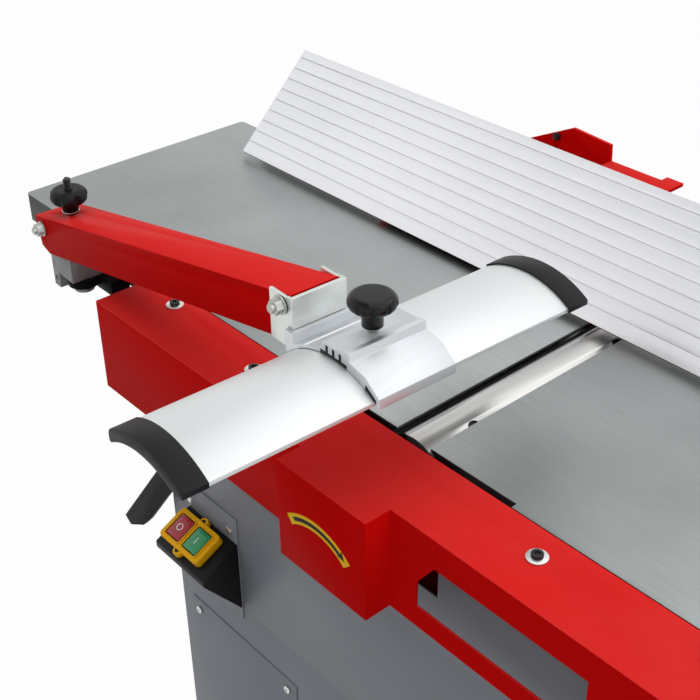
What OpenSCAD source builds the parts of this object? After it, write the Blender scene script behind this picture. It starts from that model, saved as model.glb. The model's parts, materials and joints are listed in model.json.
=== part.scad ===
// Planer thicknesser: floor machine with two planing tables over a cutter block,
// a thicknessing table under it, a tilting fence and a bridge guard on an arm.
// Origin: on the floor, under the middle of the cutter block. X runs along the tables
// towards the infeed end, Y across the tables towards the fence, Z up. Millimetres.

/* [Tables] */
// Height of the planing tables over the floor
table_h = 850; // [840:1:880]
// Width of the tables beside the cutter block
plane_w = 310; // [300:1:316]
// Length of each planing table
table_len = 638.4; // [600:0.1:680]
// Thickness of the table plates
plate_t = 8; // [6:0.5:10]

/* [Thicknesser] */
// Length of the thicknessing table along the feed
thick_len = 540; // [480:1:600]
// Diameter of the handwheel
wheel_d = 220; // [180:1:240]

/* [Guard] */
// Length of the bridge guard with its caps
guard_len = 400; // [360:1:420]
// Wall thickness of the guard profile
guard_wall = 3; // [2.5:0.1:3.5]
// Diameter of the clamp knob on the saddle
clamp_knob_d = 40; // [34:1:44]

/* [Fence] */
// Length of the fence
fence_len = 1100; // [1000:1:1200]
// Depth of the grooves along the fence
groove_d = 1; // [0.5:0.1:1.5]

/* [Cabinet] */
// Sheet thickness of the cabinet and of the covers
sheet = 2; // [1.5:0.1:2.5]
// Width of the front and rear cover
cover_w = 768; // [760:1:790]

/* [Hidden] */
$fn = 64;

// Clearances: between bodies that move apart, in turning fits, and round seated parts
gap = 0.3;
run = 0.05;
seat = 0.1;

// Levels and planes of the machine
hw = plane_w / 2;
tz = table_h;
step_x = 118;
step_out = 6;
mouth = 20.6;
lip_r = 40;
rim_h = 34;
rim_t = 6;
corner_r = 6.5;
under = tz - plate_t;
rim_low = tz - rim_h;
cz = tz - 37;
side_in = hw + 0.7;
side_t = 6;
side_out = side_in + side_t;
side_x = 360;
side_low = tz - 330;
side_top = tz - 40;

// Cutter block, bearings and drive
block_r = 36;
knife_r = 37;
journal_r = 10;
// Angles of the three knives round the block, and the pockets in its surface
knife_at = [113.5, 233.5, 353.5];
pocket_y = 98.5;
pocket_a = 58;
bearing_r = 23.5;
bearing_w = 14;
housing_r = 33;
belt_y = hw + 31;
belt_w = 13;
pulley_r = 28;
motor_pulley_r = 40;
motor_z = 98;
motor_r = 82;
belt_t = 4;

// Feed rollers, chain and kickback fingers
roller_x = 58;
roller_z = cz - 21.7;
roller_r = 17;
roller_pin_r = 7;
bush_r = 10;
chain_y0 = -hw - 35;
chain_y1 = -hw - 28;
drum_sprocket_r = 16;
roller_sprocket_r = 21;
kick_x = -100;
kick_z = cz - 13;
kick_r = 5;

// Hinges of the two tables
hinge_y = hw + 30;
hinge_z = tz - 28;
eye_r = 10;
hinge_pin_r = 6;
hinge_x = [150, 330];
hinge_w = 30;
cheek = 7.5;
beam_low = tz - 30;
beam_top = tz - 12.5;

// Thicknessing table, column and lift
thick_top = tz - 250;
thick_t = 46;
thick_hw = hw - 5;
shelf_z = tz - 600;
shelf_t = 6;
column_r = 50;
tube_r = 42;
column_top = tz - 350;
screw_r = 12;
bevel_z = shelf_z - 14;
wheel_z = bevel_z - 13.3;
wheel_y = -hw - 110;
rim_r = 10;
grip_r = wheel_d / 2 - 26;

// Cabinet and covers
cab_x = 338;
cab_y = hw + 42;
cover_x = cover_w / 2;
cover_in = -hw - 7;
cover_out = -hw - 79;
cover_low = tz - 104;
bump_x = 56;
bump_out = -hw - 106;
rear_out = hw + 45;
hood_x = 74;
hood_top = tz - 1;
post_x = [-321.6, -174.2, 171.1, 321.6];
post_y = [-hw - 24.8, -hw - 37.9, -hw - 35.4, -hw - 24.8];

// Lock levers of the tables
lock_x = 300;
lock_z = tz - 165;
lock_r = 144.2;
lock_rest = 118;
lock_shut = 78;
lock_pin_r = 5;
lock_slot_r = 5.9;
catch_x = lock_x - lock_r * cos(lock_shut);
catch_z = lock_z + lock_r * sin(lock_shut);
lock_y = -hw - 50;

// Depth adjustment of the infeed table
depth_x = 430;
depth_z = tz - 24;
depth_e = 2.83;
depth_r = 13.7;
cut_max = 4;

// Switch on the front of the cabinet, slope of its face
sw_x0 = -304;
sw_x1 = -216;
sw_top = tz - 238;
sw_mid = -266;
sw_pitch = 15;
sw_a = 26.57;

// Fence
fence_y = plane_w - 63.7;
fence_x0 = -566;
fence_w = 148;
groove_p = 15.2;
fence_hinge = [plane_w - 53.8, 6.6];
guide_x = [-320, -140];
slide_z = [1, 7];
clamp_x = -200;
clamp_y = plane_w + 33;
ear_x = [-320, -157];
ear_w = 12;
ear_r = 6;
fence_pin_r = 3;
slide_screws = [[-283.9, 20.6], [-237.5, 19.4], [-182.2, 18.8], [-282.4, 40]];

// Guard arm: its far end stays over the guard, its foot over the swivel point
arm_len = 480;
arm_z = 39.5;
arm_end = [-55.99, 148.29];
arm_pitch = asin((arm_end[1] - arm_z) / arm_len);
arm_x = arm_end[0] - arm_len * cos(arm_pitch);
arm_d = 41.7;
arm_y = [-65, -17];
arm_t = 3;
arm_pin = [arm_x + 14.5, 29];
tip_pin = [-64, 138];
bolt_r = 4;
stud_x = arm_x + 39.5;
stud_y = -41;
stud_r = 4.2;

// Guard: swivel point, swing, and the curve of the profile
pivot = [arm_x + 48.5, -42];
swivel_r = 8;
swing = -2.34;
guard_x = 7.05;
guard_cz = 30.96;
guard_r = 91.5;
guard_half = 47.75;
guard_y0 = -230.7;
guard_y1 = guard_len + guard_y0 - 20;
cap_y = 10;
cap_in = 12;
saddle_y = [-72, 5];
tooth_x = [-1.8, 6.2, 14.3];
knob_x = 7.5;
knob_y = -34;

// Box from its limits
module block(x, y, z) translate([x[0], y[0], z[0]]) cube([x[1] - x[0], y[1] - y[0], z[1] - z[0]]);

// Round bars along the three directions
module rod_x(x, r, y, z) translate([x[0], y, z]) rotate([0, 90, 0]) cylinder(r = r, h = x[1] - x[0]);
module rod_y(y, r, x, z) translate([x, y[1], z]) rotate([90, 0, 0]) cylinder(r = r, h = y[1] - y[0]);
module rod_z(z, r, x, y) translate([x, y, z[0]]) cylinder(r = r, h = z[1] - z[0]);
module hex_y(y, r, x, z) translate([x, y[1], z]) rotate([90, 0, 0]) cylinder(r = r, h = y[1] - y[0], $fn = 6);

// Outlines drawn in X and Z, or in Y and Z, and drawn out over the third direction
module over_y(y) translate([0, y[1], 0]) rotate([90, 0, 0]) linear_extrude(y[1] - y[0]) children();
module over_x(x) translate([x[0], 0, 0]) rotate([90, 0, 90]) linear_extrude(x[1] - x[0]) children();

// The same thing at the left and at the right
module both() {
  children();
  mirror([1, 0, 0]) children();
}

// Straight points of a band that runs round two circles, for its outer side
function run_off(a, b) = let(
    d = [b[0] - a[0], b[1] - a[1]],
    l = norm(d),
    t = atan2(d[1], d[0]) - 90 - asin((b[2] - a[2]) / l))
  [[a[0] + a[2] * cos(t), a[1] + a[2] * sin(t)], [b[0] + b[2] * cos(t), b[1] + b[2] * sin(t)]];

// Filled outline of a band round three circles given as x, z, radius, counter-clockwise
module band3(a, b, c) {
  polygon(concat(run_off(a, b), run_off(b, c), run_off(c, a)));
  for (k = [a, b, c]) translate([k[0], k[1]]) circle(r = k[2] + 0.02);
}
module band2(a, b) {
  polygon(concat(run_off(a, b), run_off(b, a)));
  for (k = [a, b]) translate([k[0], k[1]]) circle(r = k[2] + 0.02);
}

// Frame of the guard: table front edge and top as zero, swung about the swivel point
module guard_place() translate([0, -hw, tz]) translate(pivot) rotate(swing) translate(-pivot) children();

// Outline of a table from above, narrow beside the cutter and wide outside
module table_outline(inset) {
  x0 = mouth + inset;
  x1 = mouth + table_len - inset;
  xs = step_x + inset;
  y = hw + step_out - inset;
  rc = corner_r - inset;
  translate([x0, -hw + inset]) square([xs - x0 + 1, plane_w - 2 * inset]);
  translate([xs, -y]) square([x1 - rc - xs, 2 * y]);
  translate([xs, -y + rc]) square([x1 - xs, 2 * (y - rc)]);
  for (s = [-1, 1]) translate([x1 - rc, s * (y - rc)]) circle(r = rc);
}

// Plate and rim of a table, with the lip hollowed for the cutter block
module table_body() difference() {
  union() {
    translate([0, 0, under]) linear_extrude(plate_t) table_outline(0);
    translate([0, 0, rim_low]) linear_extrude(rim_h - plate_t + 1) difference() {
      table_outline(0);
      table_outline(rim_t);
      square([110, 2 * plane_w], center = true);
    }
    block([55, 61], [-hw, hw - rim_t], [tz - 22, under + 1]);
  }
  rod_y([-hw - 1, hw + 1], lip_r, 0, cz);
  block([mouth - 1, hood_x + 4], [hw - rim_t, hw + 1], [rim_low - 1, under]);
}

// Hinge eye at the back of a table or carrier
module hinge_eye(x) difference() {
  union() {
    rod_x([x + cheek + gap, x + hinge_w - cheek - gap], eye_r, hinge_y, hinge_z);
    block([x + cheek + gap, x + hinge_w - cheek - gap], [hw - 2, hinge_y], [beam_low, beam_top]);
  }
  rod_x([x, x + hinge_w], hinge_pin_r + run, hinge_y, hinge_z);
}

// Catch pin that the hook of a lock lever grips, with the block that holds it
module catch_pin(top) {
  rod_y([-hw + 1.2, -hw + 12], lock_pin_r, catch_x, catch_z);
  block([catch_x - 9, catch_x + 9], [-hw + 7, -hw + 40], [beam_low, top]);
}

module outfeed_table() color([0.63, 0.65, 0.64]) mirror([1, 0, 0]) {
  table_body();
  for (x = hinge_x) {
    block([x, x + hinge_w], [-hw + 8, hw], [beam_low, under + 1]);
    hinge_eye(x);
  }
  catch_pin(under + 1);
}

module infeed_table() color([0.63, 0.65, 0.64]) difference() {
  union() {
    table_body();
    block([200, 208], [-60, 60], [beam_low + 6, under + 1]);
  }
  for (x = hinge_x) block([x - 1, x + hinge_w + 1], [hw - 10, hw + 20],
    [rim_low - 1, beam_top + cut_max + gap]);
  // Oblong hole for the depth lever's shaft
  for (z = [depth_z, depth_z + 4]) rod_y([-hw - 10, -hw + 10], 7.6, depth_x, z);
  block([depth_x - 7.6, depth_x + 7.6], [-hw - 10, -hw + 10], [depth_z, depth_z + 4]);
}

module infeed_carrier() color([0.2, 0.2, 0.21]) difference() {
  union() {
    for (x = hinge_x) {
      block([x, x + hinge_w], [-hw + 8, hw - 1], [beam_low, beam_top]);
      hinge_eye(x);
    }
    for (y = [-hw + 30, hw - 30]) block([hinge_x[0], depth_x + 15], [y - 12, y + 12], [beam_low, beam_top]);
    catch_pin(beam_top);
    for (y = [-hw + 18, hw - 42]) block([depth_x - 18, depth_x + 18], [y, y + 24], [depth_z - 16, beam_top]);
  }
  // Room for the two eccentrics under the table and bore for the lever's shaft
  rod_y([-hw, hw], 7 + run, depth_x, depth_z);
  for (y = [-hw + 24, hw - 36]) rod_y([y - gap, y + 12 + gap], 18.5, depth_x, depth_z);
}

module depth_lever() color([0.12, 0.12, 0.13]) {
  rod_y([-hw - 30, hw - 19], 7, depth_x, depth_z);
  for (y = [-hw + 24, hw - 36])
    rod_y([y, y + 12], depth_r, depth_x + depth_e * cos(45), depth_z + depth_e * sin(45));
  translate([depth_x, -hw - 24, depth_z]) rotate([0, 3, 0]) {
    rod_y([-8, 8], 13, 0, 0);
    rod_x([0, 130], 5, 0, 0);
    translate([130, 0, 0]) sphere(r = 14);
  }
}

// Side frame as seen from the front, its holes are cut by the caller
module frame_plate() {
  translate([-side_x, side_low]) square([2 * side_x, side_top - side_low]);
  translate([-step_x + 2, side_top - 1]) square([2 * step_x - 4, tz - 25 - side_top + 1]);
}
module frame_holes() {
  translate([0, cz]) circle(r = 14);
  for (s = [-1, 1]) translate([s * roller_x, roller_z]) circle(r = bush_r);
  translate([kick_x, kick_z]) circle(r = kick_r);
}

module front_side_frame() color([0.75, 0.07, 0.06]) {
  over_y([-side_out, -side_in]) difference() {
    frame_plate();
    frame_holes();
    for (s = [-1, 1]) translate([s * lock_x, lock_z]) circle(r = 8 + run);
  }
  // Folded flanges that carry the front cover and stand on the cabinet
  both() {
    block([step_x, side_x], [-hw - 60, -side_in - 1], [side_top - 6, side_top]);
    block([step_x, cab_x - 4], [-cab_y + sheet + 1, -side_in - 1], [side_low, side_low + side_t]);
    block([hinge_x[0] + 8, hinge_x[0] + 22], [-side_in - 1, -hw + 22], [tz - 60, rim_low - cut_max - gap]);
    block([hinge_x[0] + 8, hinge_x[0] + 22], [-hw + 6, -hw + 22], [tz - 60, beam_low - gap]);
  }
  for (i = [0:3]) difference() {
    rod_z([side_top - 1, tz - sheet], 7, post_x[i], post_y[i]);
    rod_z([side_top, tz], 3 + seat, post_x[i], post_y[i]);
  }
}

module rear_side_frame() color([0.75, 0.07, 0.06]) difference() {
  union() {
    over_y([side_in, side_out]) difference() {
      frame_plate();
      frame_holes();
    }
    both() {
      block([step_x, side_x], [side_in + 1, hw + 40], [side_top - 6, side_top]);
      block([step_x, cab_x - 4], [side_in + 1, hw + 38], [side_low, side_low + side_t]);
      for (x = hinge_x, c = [0, hinge_w - cheek]) {
        block([x + c, x + c + cheek], [hinge_y - eye_r, hinge_y + eye_r], [side_top - 1, hinge_z]);
        rod_x([x + c, x + c + cheek], eye_r, hinge_y, hinge_z);
      }
    }
  }
  both() for (x = hinge_x) rod_x([x - 1, x + hinge_w + 1], hinge_pin_r + run, hinge_y, hinge_z);
}

module hinge_pins() color([0.6, 0.6, 0.62]) both() for (x = hinge_x) {
  rod_x([x - 1, x + hinge_w + 1], hinge_pin_r, hinge_y, hinge_z);
  rod_x([x + hinge_w, x + hinge_w + 4], hinge_pin_r + 3, hinge_y, hinge_z);
}

module front_cover() color([0.85, 0.08, 0.07]) difference() {
  union() {
    block([-cover_x, cover_x], [cover_out, cover_in], [cover_low, tz]);
    block([-bump_x, bump_x], [bump_out, cover_out + sheet], [cover_low, tz]);
  }
  block([-cover_x + sheet, cover_x - sheet], [cover_out + sheet, cover_in + 1],
    [cover_low - 1, tz - sheet]);
  block([-bump_x + sheet, bump_x - sheet], [bump_out + sheet, cover_out + sheet + 1],
    [cover_low - 1, tz - sheet]);
  over_y([cover_out - 1, cover_out + sheet + 1])
    polygon([[106, tz - 29.5], [87, tz - 56], [87, tz - 82], [260, tz - 82], [260, tz - 29.5]]);
  for (i = [0:3]) rod_z([tz - sheet - 1, tz + 1], 3.3, post_x[i], post_y[i]);
}

module cover_screws() for (i = [0:3]) translate([post_x[i], post_y[i], tz]) {
  color([0.7, 0.7, 0.72]) difference() {
    cylinder(r = 9, h = 1.6);
    translate([0, 0, -1]) cylinder(r = 3.2, h = 4);
  }
  color([0.08, 0.08, 0.09]) difference() {
    union() {
      translate([0, 0, -9]) cylinder(r = 3, h = 11);
      translate([0, 0, 1.6]) cylinder(r = 5, h = 6);
    }
    translate([0, 0, 4.5]) cylinder(r = 2.9, h = 4, $fn = 6);
  }
}

module rear_cover() color([0.85, 0.08, 0.07]) difference() {
  union() {
    block([-cover_x, cover_x], [side_out, rear_out], [side_low + 10, side_top - 7]);
    block([-hood_x, hood_x], [side_out + gap, rear_out], [side_top - 60, hood_top]);
  }
  block([-cover_x + sheet, cover_x - sheet], [side_out - 1, rear_out - sheet],
    [side_low, side_top - 7 - sheet]);
  block([-hood_x + sheet, hood_x - sheet], [side_out + gap + sheet, rear_out - sheet],
    [side_low, hood_top - sheet]);
  block([-hood_x + sheet, hood_x - sheet], [side_out - 1, side_out + 10], [side_low, side_top - 5]);
  rod_y([side_out - 1, side_out + 10], housing_r + 1, 0, cz);
}

module bearing_housings() color([0.3, 0.31, 0.33]) for (s = [0, 1]) mirror([0, s, 0]) difference() {
  rod_y([side_out, side_out + bearing_w + gap], housing_r, 0, cz);
  rod_y([side_out - 1, side_out + bearing_w + 1], bearing_r + run, 0, cz);
  for (a = [45:90:315]) rod_y([side_out + 6, side_out + 20], 2.5, 28 * cos(a), cz + 28 * sin(a));
}

module cutter_bearings() color([0.7, 0.7, 0.72]) for (s = [0, 1]) mirror([0, s, 0]) difference() {
  rod_y([side_out + 0.1, side_out + bearing_w + 0.1], bearing_r, 0, cz);
  rod_y([side_out, side_out + bearing_w + 1], journal_r + run, 0, cz);
  rod_y([side_out + bearing_w - 1, side_out + bearing_w + 1], 19, 0, cz);
}

module cutter_block() color([0.72, 0.73, 0.75]) difference() {
  union() {
    rod_y([-hw + 0.5, hw - 0.5], block_r, 0, cz);
    rod_y([-hw - 96, belt_y + 8.5], journal_r, 0, cz);
  }
  for (a = knife_at) translate([0, 0, cz]) rotate([0, -a, 0])
    block([block_r - 14, block_r + 2], [-hw - 1, hw + 1], [-5, 8]);
  for (s = [-1, 1]) translate([0, 0, cz]) rotate([0, -pocket_a, 0])
    rod_x([block_r - 3, block_r + 1], 7, s * pocket_y, 0);
}

module planer_knives() color([0.82, 0.83, 0.85]) for (a = knife_at)
  translate([0, 0, cz]) rotate([0, -a, 0]) block([block_r - 13.8, knife_r], [-hw + 0.5, hw - 0.5], [-5, -2]);

module knife_wedges() color([0.35, 0.36, 0.38]) for (a = knife_at)
  translate([0, 0, cz]) rotate([0, -a, 0]) intersection() {
    block([block_r - 13.8, block_r], [-hw + 0.5, hw - 0.5], [-2, 7.9]);
    rod_y([-hw, hw], block_r - 0.5, 0, 0);
  }

module cutter_pulley() color([0.3, 0.31, 0.33]) difference() {
  union() {
    rod_y([belt_y - belt_w / 2, belt_y + belt_w / 2], pulley_r, 0, cz);
    for (y = [belt_y - 7.5, belt_y + 7.5]) rod_y([y - 1, y + 1], pulley_r + 2, 0, cz);
  }
  rod_y([belt_y - 10, belt_y + 10], journal_r + run, 0, cz);
}

module motor() color([0.25, 0.27, 0.3]) {
  difference() {
    union() {
      rod_y([-60, 150], motor_r - 6, 0, motor_z);
      for (y = [-20:14:106]) rod_y([y, y + 5], motor_r, 0, motor_z);
      rod_y([128, 154], motor_r - 2, 0, motor_z);
      block([-70, 70], [-20, 110], [sheet, 30]);
      block([70, 118], [10, 80], [motor_z - 30, motor_z + 40]);
    }
    rod_y([-50, 155], 12 + run, 0, motor_z);
    rod_y([-61, -51], motor_r - 10, 0, motor_z);
  }
}

module motor_shaft() color([0.6, 0.6, 0.62]) {
  rod_y([-49, belt_y + 9], 12, 0, motor_z);
}

module motor_pulley() color([0.3, 0.31, 0.33]) difference() {
  union() {
    rod_y([belt_y - belt_w / 2, belt_y + belt_w / 2], motor_pulley_r, 0, motor_z);
    for (y = [belt_y - 7.5, belt_y + 7.5]) rod_y([y - 1, y + 1], motor_pulley_r + 3, 0, motor_z);
    rod_y([belt_y - 16, belt_y], 20, 0, motor_z);
  }
  rod_y([belt_y - 20, belt_y + 10], 12 + run, 0, motor_z);
}

module drive_belt() color([0.07, 0.07, 0.08]) over_y([belt_y - 6, belt_y + 6]) difference() {
  band2([0, cz, pulley_r + belt_t], [0, motor_z, motor_pulley_r + belt_t]);
  band2([0, cz, pulley_r + gap], [0, motor_z, motor_pulley_r + gap]);
}

// Toothed wheel with round tooth spaces, outline about its own centre
module sprocket(r, n) difference() {
  circle(r = r + 2);
  for (i = [0:n - 1]) rotate(i * 360 / n) translate([r + 2.2, 0]) circle(r = 2.4);
}

module feed_reducer() color([0.3, 0.31, 0.33]) difference() {
  union() {
    rod_y([-hw - 95, -hw - 45], 33, 0, cz);
    rod_y([-hw - 46, chain_y0], 16, 0, cz);
    over_y([chain_y0, chain_y1]) translate([0, cz]) sprocket(drum_sprocket_r, 12);
  }
  rod_y([-hw - 97, -hw], journal_r + run, 0, cz);
}

module feed_chain() color([0.2, 0.19, 0.18]) over_y([chain_y0, chain_y1]) {
  far = roller_sprocket_r + 5.5;
  top = drum_sprocket_r + 5.5;
  near = 2.8;
  difference() {
    band3([-roller_x, roller_z, far], [roller_x, roller_z, far], [0, cz, top]);
    band3([-roller_x, roller_z, far - near], [roller_x, roller_z, far - near], [0, cz, top - near]);
  }
}

module roller_bushes() color([0.72, 0.55, 0.25]) for (s = [0, 1]) mirror([0, s, 0]) both() difference() {
  union() {
    rod_y([side_in, side_out], bush_r, roller_x, roller_z);
    rod_y([side_out, side_out + 3], bush_r + 1.5, roller_x, roller_z);
  }
  rod_y([side_in - 1, side_out + 5], roller_pin_r + run, roller_x, roller_z);
}

// Feed roller with journals and sprocket, at its own x
module roller(x) {
  rod_y([-hw + 1, hw - 1], roller_r, x, roller_z);
  rod_y([chain_y0 - 4, side_out + 6], roller_pin_r, x, roller_z);
  over_y([chain_y0, chain_y1]) translate([x, roller_z]) sprocket(roller_sprocket_r, 16);
}
module infeed_roller() color([0.4, 0.41, 0.43]) difference() {
  roller(-roller_x);
  for (i = [0:23]) translate([-roller_x, 0, roller_z]) rotate([0, i * 15, 0])
    block([roller_r - 1, roller_r + 1], [-hw, hw], [-0.8, 0.8]);
}
module outfeed_roller() color([0.6, 0.6, 0.62]) roller(roller_x);

module kickback_shaft() color([0.6, 0.6, 0.62])
  rod_y([-side_out - 3, side_out - seat], kick_r, kick_x, kick_z);

module kickback_fingers() color([0.35, 0.36, 0.38]) for (i = [-9:9])
  over_y([i * 16 - 6, i * 16 + 6]) difference() {
    union() {
      translate([kick_x, kick_z]) circle(r = 9);
      translate([kick_x, kick_z]) polygon([[-9, 0], [9, 0], [4, -26], [-3, -29], [-5, -22]]);
    }
    translate([kick_x, kick_z]) circle(r = kick_r + run);
  }

module dust_hood() color([0.16, 0.16, 0.17]) {
  top = tz - 80;
  low = tz - 186;
  port_z = low + 53;
  difference() {
    union() {
      block([-110, 130], [-hw - 0.4, hw + 0.4], [low, top]);
      rod_x([129, 372], 52, 0, port_z);
    }
    over_y([-hw + 2, hw - 2])
      polygon([[-108, top + 1], [-108, top - 30], [60, low + 2], [128, low + 2], [128, top + 1]]);
    rod_x([120, 373], 50, 0, port_z);
    over_y([-hw - 2, hw + 2]) polygon([[-111, low - 1], [-111, top - 34], [54, low - 1]]);
  }
}

module table_column() color([0.3, 0.31, 0.33]) difference() {
  union() {
    rod_z([shelf_z + shelf_t, column_top], column_r, 0, 0);
    rod_z([shelf_z + shelf_t, shelf_z + shelf_t + 12], 80, 0, 0);
  }
  rod_z([shelf_z, column_top + 1], tube_r + run, 0, 0);
  for (a = [45:90:315]) rod_z([shelf_z, shelf_z + 30], 5.5, 65 * cos(a), 65 * sin(a));
}

module thickness_table() color([0.5, 0.51, 0.52]) difference() {
  union() {
    block([-thick_len / 2, thick_len / 2], [-thick_hw, thick_hw], [thick_top - thick_t, thick_top]);
    rod_z([thick_top - thick_t - 230, thick_top - 10], tube_r, 0, 0);
  }
  // Pockets between the ribs, and the bore for the lift screw
  pocket = (thick_len / 2 - 80) / 2;
  for (a = [0, 1], b = [0, 1], i = [0, 1]) mirror([a, 0, 0]) mirror([0, b, 0])
    translate([60 + i * (pocket + 10), 8, thick_top - thick_t - 1])
      cube([pocket, thick_hw - 16, thick_t - 9]);
  for (b = [0, 1]) mirror([0, b, 0])
    block([-50, 50], [tube_r + 12, thick_hw - 8], [thick_top - thick_t - 1, thick_top - 10]);
  rod_z([thick_top - thick_t - 231, thick_top - 20], screw_r + run, 0, 0);
  rod_z([thick_top - thick_t - 231, thick_top - thick_t - 30], tube_r - 8, 0, 0);
}

module lift_screw() color([0.6, 0.6, 0.62]) {
  rod_z([shelf_z - 2, thick_top - 100], screw_r, 0, 0);
  rod_z([bevel_z, shelf_z - gap], 24, 0, 0);
}

module handwheel_shaft() color([0.6, 0.6, 0.62]) {
  rod_y([wheel_y + 8, -12], 8, 0, wheel_z);
  rod_y([-26, -14], 12, 0, wheel_z);
}

module handwheel() color([0.1, 0.1, 0.11]) translate([0, wheel_y, wheel_z]) rotate([90, 0, 0]) difference() {
  union() {
    rotate_extrude() translate([wheel_d / 2 - rim_r, 0]) circle(r = rim_r);
    translate([0, 0, -22]) cylinder(r = 18, h = 32);
    for (a = [90, 210, 330]) rotate(a) block([0, wheel_d / 2 - rim_r], [-8, 8], [-5, 5]);
    translate([grip_r, 0, -6]) cylinder(r = 11, h = 16);
    translate([grip_r, 0, -5]) cylinder(r = 4, h = 44);
    block([grip_r, wheel_d / 2 - rim_r], [-7, 7], [-5, 5]);
  }
  translate([0, 0, -23]) cylinder(r = 8, h = 16);
}

module handwheel_grip() color([0.1, 0.1, 0.11]) translate([grip_r, wheel_y, wheel_z]) rotate([90, 0, 0])
  difference() {
    union() {
      translate([0, 0, 10 + gap]) cylinder(r1 = 10, r2 = 13, h = 34);
      translate([0, 0, 44 + gap]) cylinder(r1 = 13, r2 = 8, h = 16);
    }
    translate([0, 0, 9]) cylinder(r = 4 + run, h = 31);
  }

// Cabinet: floor, walls, shelf and the front panel that reaches up behind the cover
module base_cabinet() color([0.48, 0.5, 0.52]) difference() {
  union() {
    difference() {
      block([-cab_x, cab_x], [-cab_y, cab_y], [0, side_low]);
      block([-cab_x + sheet, cab_x - sheet], [-cab_y + sheet, cab_y - sheet], [sheet, side_low - sheet]);
      block([-cab_x + 30, cab_x - 30], [-cab_y + 42, cab_y + 1 - 42], [side_low - 10, side_low + 1]);
      block([-60, 60], [hw + 18, cab_y - sheet], [side_low - 10, side_low + 1]);
    }
    block([-cab_x + 1, cab_x - 1], [-cab_y + 1, hw + 15], [shelf_z, shelf_z + shelf_t]);
  }
  rod_z([shelf_z - 1, shelf_z + shelf_t + 1], screw_r + 1, 0, 0);
  for (a = [45:90:315]) rod_z([shelf_z - 1, shelf_z + shelf_t + 1], 5.5, 65 * cos(a), 65 * sin(a));
  rod_y([-cab_y - 1, -cab_y + 3], 8.3, 0, wheel_z);
  for (sx = [-1, 1], sy = [-1, 1]) rod_z([-1, sheet + 1], 7, sx * 300, sy * (cab_y - 37));
  rod_x([-cab_x - 1, -cab_x + 3], 10 + seat, 120, 60);
}

// Sheet that stands on the cabinet and closes its front up into the cover
module front_panel() color([0.48, 0.5, 0.52]) over_y([-cab_y, -cab_y + sheet]) difference() {
  translate([-cab_x, side_low]) square([2 * cab_x, side_top - 7 - side_low]);
  translate([-75, cover_low - 2]) square([150, 120]);
  for (s = [-1, 1]) translate([s * lock_x, lock_z]) circle(r = 8 + gap);
}

module cable_gland() color([0.1, 0.1, 0.11]) difference() {
  union() {
    rod_x([-cab_x - 14, -cab_x + 8], 10, 120, 60);
    rod_x([-cab_x - 10, -cab_x], 14, 120, 60);
  }
  rod_x([-cab_x - 15, -cab_x + 9], 5, 120, 60);
}

module switch_plate() color([0.48, 0.5, 0.52]) {
  difference() {
    block([-330, sw_x1], [-cab_y - 1.5, -cab_y], [tz - 345, tz - 205]);
    rod_y([-cab_y - 3, -cab_y + 1], 12, -260, tz - 290);
  }
  for (p = [[-229.5, -225.6], [-300, -226.8]]) rod_y([-cab_y - 3.5, -cab_y - 1], 4, p[0], tz + p[1]);
}

// Sloping face of the switch: x along it, y up the slope, z out of it
module on_switch() translate([sw_mid, -cab_y - 24, sw_top - 12]) rotate([sw_a, 0, 0]) children();

module switch_box() color([0.07, 0.07, 0.08]) difference() {
  over_x([sw_x0, sw_x1]) polygon([[-cab_y - 1.5, sw_top - 0.75], [-cab_y - 48, sw_top - 24],
    [-cab_y - 48, sw_top - 32], [-cab_y - 1.5, sw_top - 92]]);
  on_switch() for (s = [-1, 1]) translate([s * sw_pitch, 0, 0]) cube([24.6, 28.6, 24], center = true);
}

module switch_frame() color([0.92, 0.68, 0.04]) on_switch() difference() {
  frame_x = 33.8;
  frame_y = 19.5;
  frame_r = 5;
  union() {
    translate([-frame_x, frame_r - frame_y, seat]) cube([2 * frame_x, 2 * (frame_y - frame_r), 10]);
    translate([frame_r - frame_x, -frame_y, seat]) cube([2 * (frame_x - frame_r), 2 * frame_y, 10]);
    for (sx = [-1, 1], sy = [-1, 1]) translate([sx * (frame_x - frame_r), sy * (frame_y - frame_r), seat])
      cylinder(r = frame_r, h = 10);
    for (s = [-1, 1]) translate([0, s * frame_y, seat]) cylinder(r = 6, h = 7);
  }
  for (s = [-1, 1]) translate([s * sw_pitch, 0, 5]) cube([24.6, 28.6, 20], center = true);
}

// Push button, standing in its opening of the frame
module button(s) on_switch() translate([s * sw_pitch - 12, -14, -3]) cube([24, 28, 14.3]);
module stop_button() color([0.75, 0.08, 0.1]) button(-1);
module start_button() color([0.1, 0.6, 0.35]) button(1);

// Lock lever: flat handle in front of the cabinet, shaft, and hook behind the frame
module lock_lever() {
  translate([-lock_x, 0, lock_z]) {
    over_y([lock_y - 3, lock_y + 3]) rotate(233.47) {
      polygon([[0, 17.5], [72, 17.2], [155.9, 17.9], [182.4, 15.7], [213.4, 3], [213.4, -11], [0, -11.2]]);
      translate([0, 3]) circle(r = 18);
    }
    rod_y([lock_y, -hw + 5.5], 8, 0, 0);
    over_y([-hw + 0.8, -hw + 5.5]) rotate(lock_rest) difference() {
      union() {
        circle(r = 15);
        translate([0, -7]) square([lock_r - 8, 14]);
        translate([lock_r - 14, -12]) square([24, 24]);
      }
      translate([lock_r, 0]) circle(r = lock_slot_r);
      translate([lock_r - lock_slot_r, -14]) square([2 * lock_slot_r, 14]);
    }
  }
}
module outfeed_lock_lever() color([0.07, 0.07, 0.08]) lock_lever();
module infeed_lock_lever() color([0.07, 0.07, 0.08]) mirror([1, 0, 0]) lock_lever();

// Frame of the fence: table front edge and top as zero
module fence_place() translate([0, -hw, tz]) children();

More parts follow.
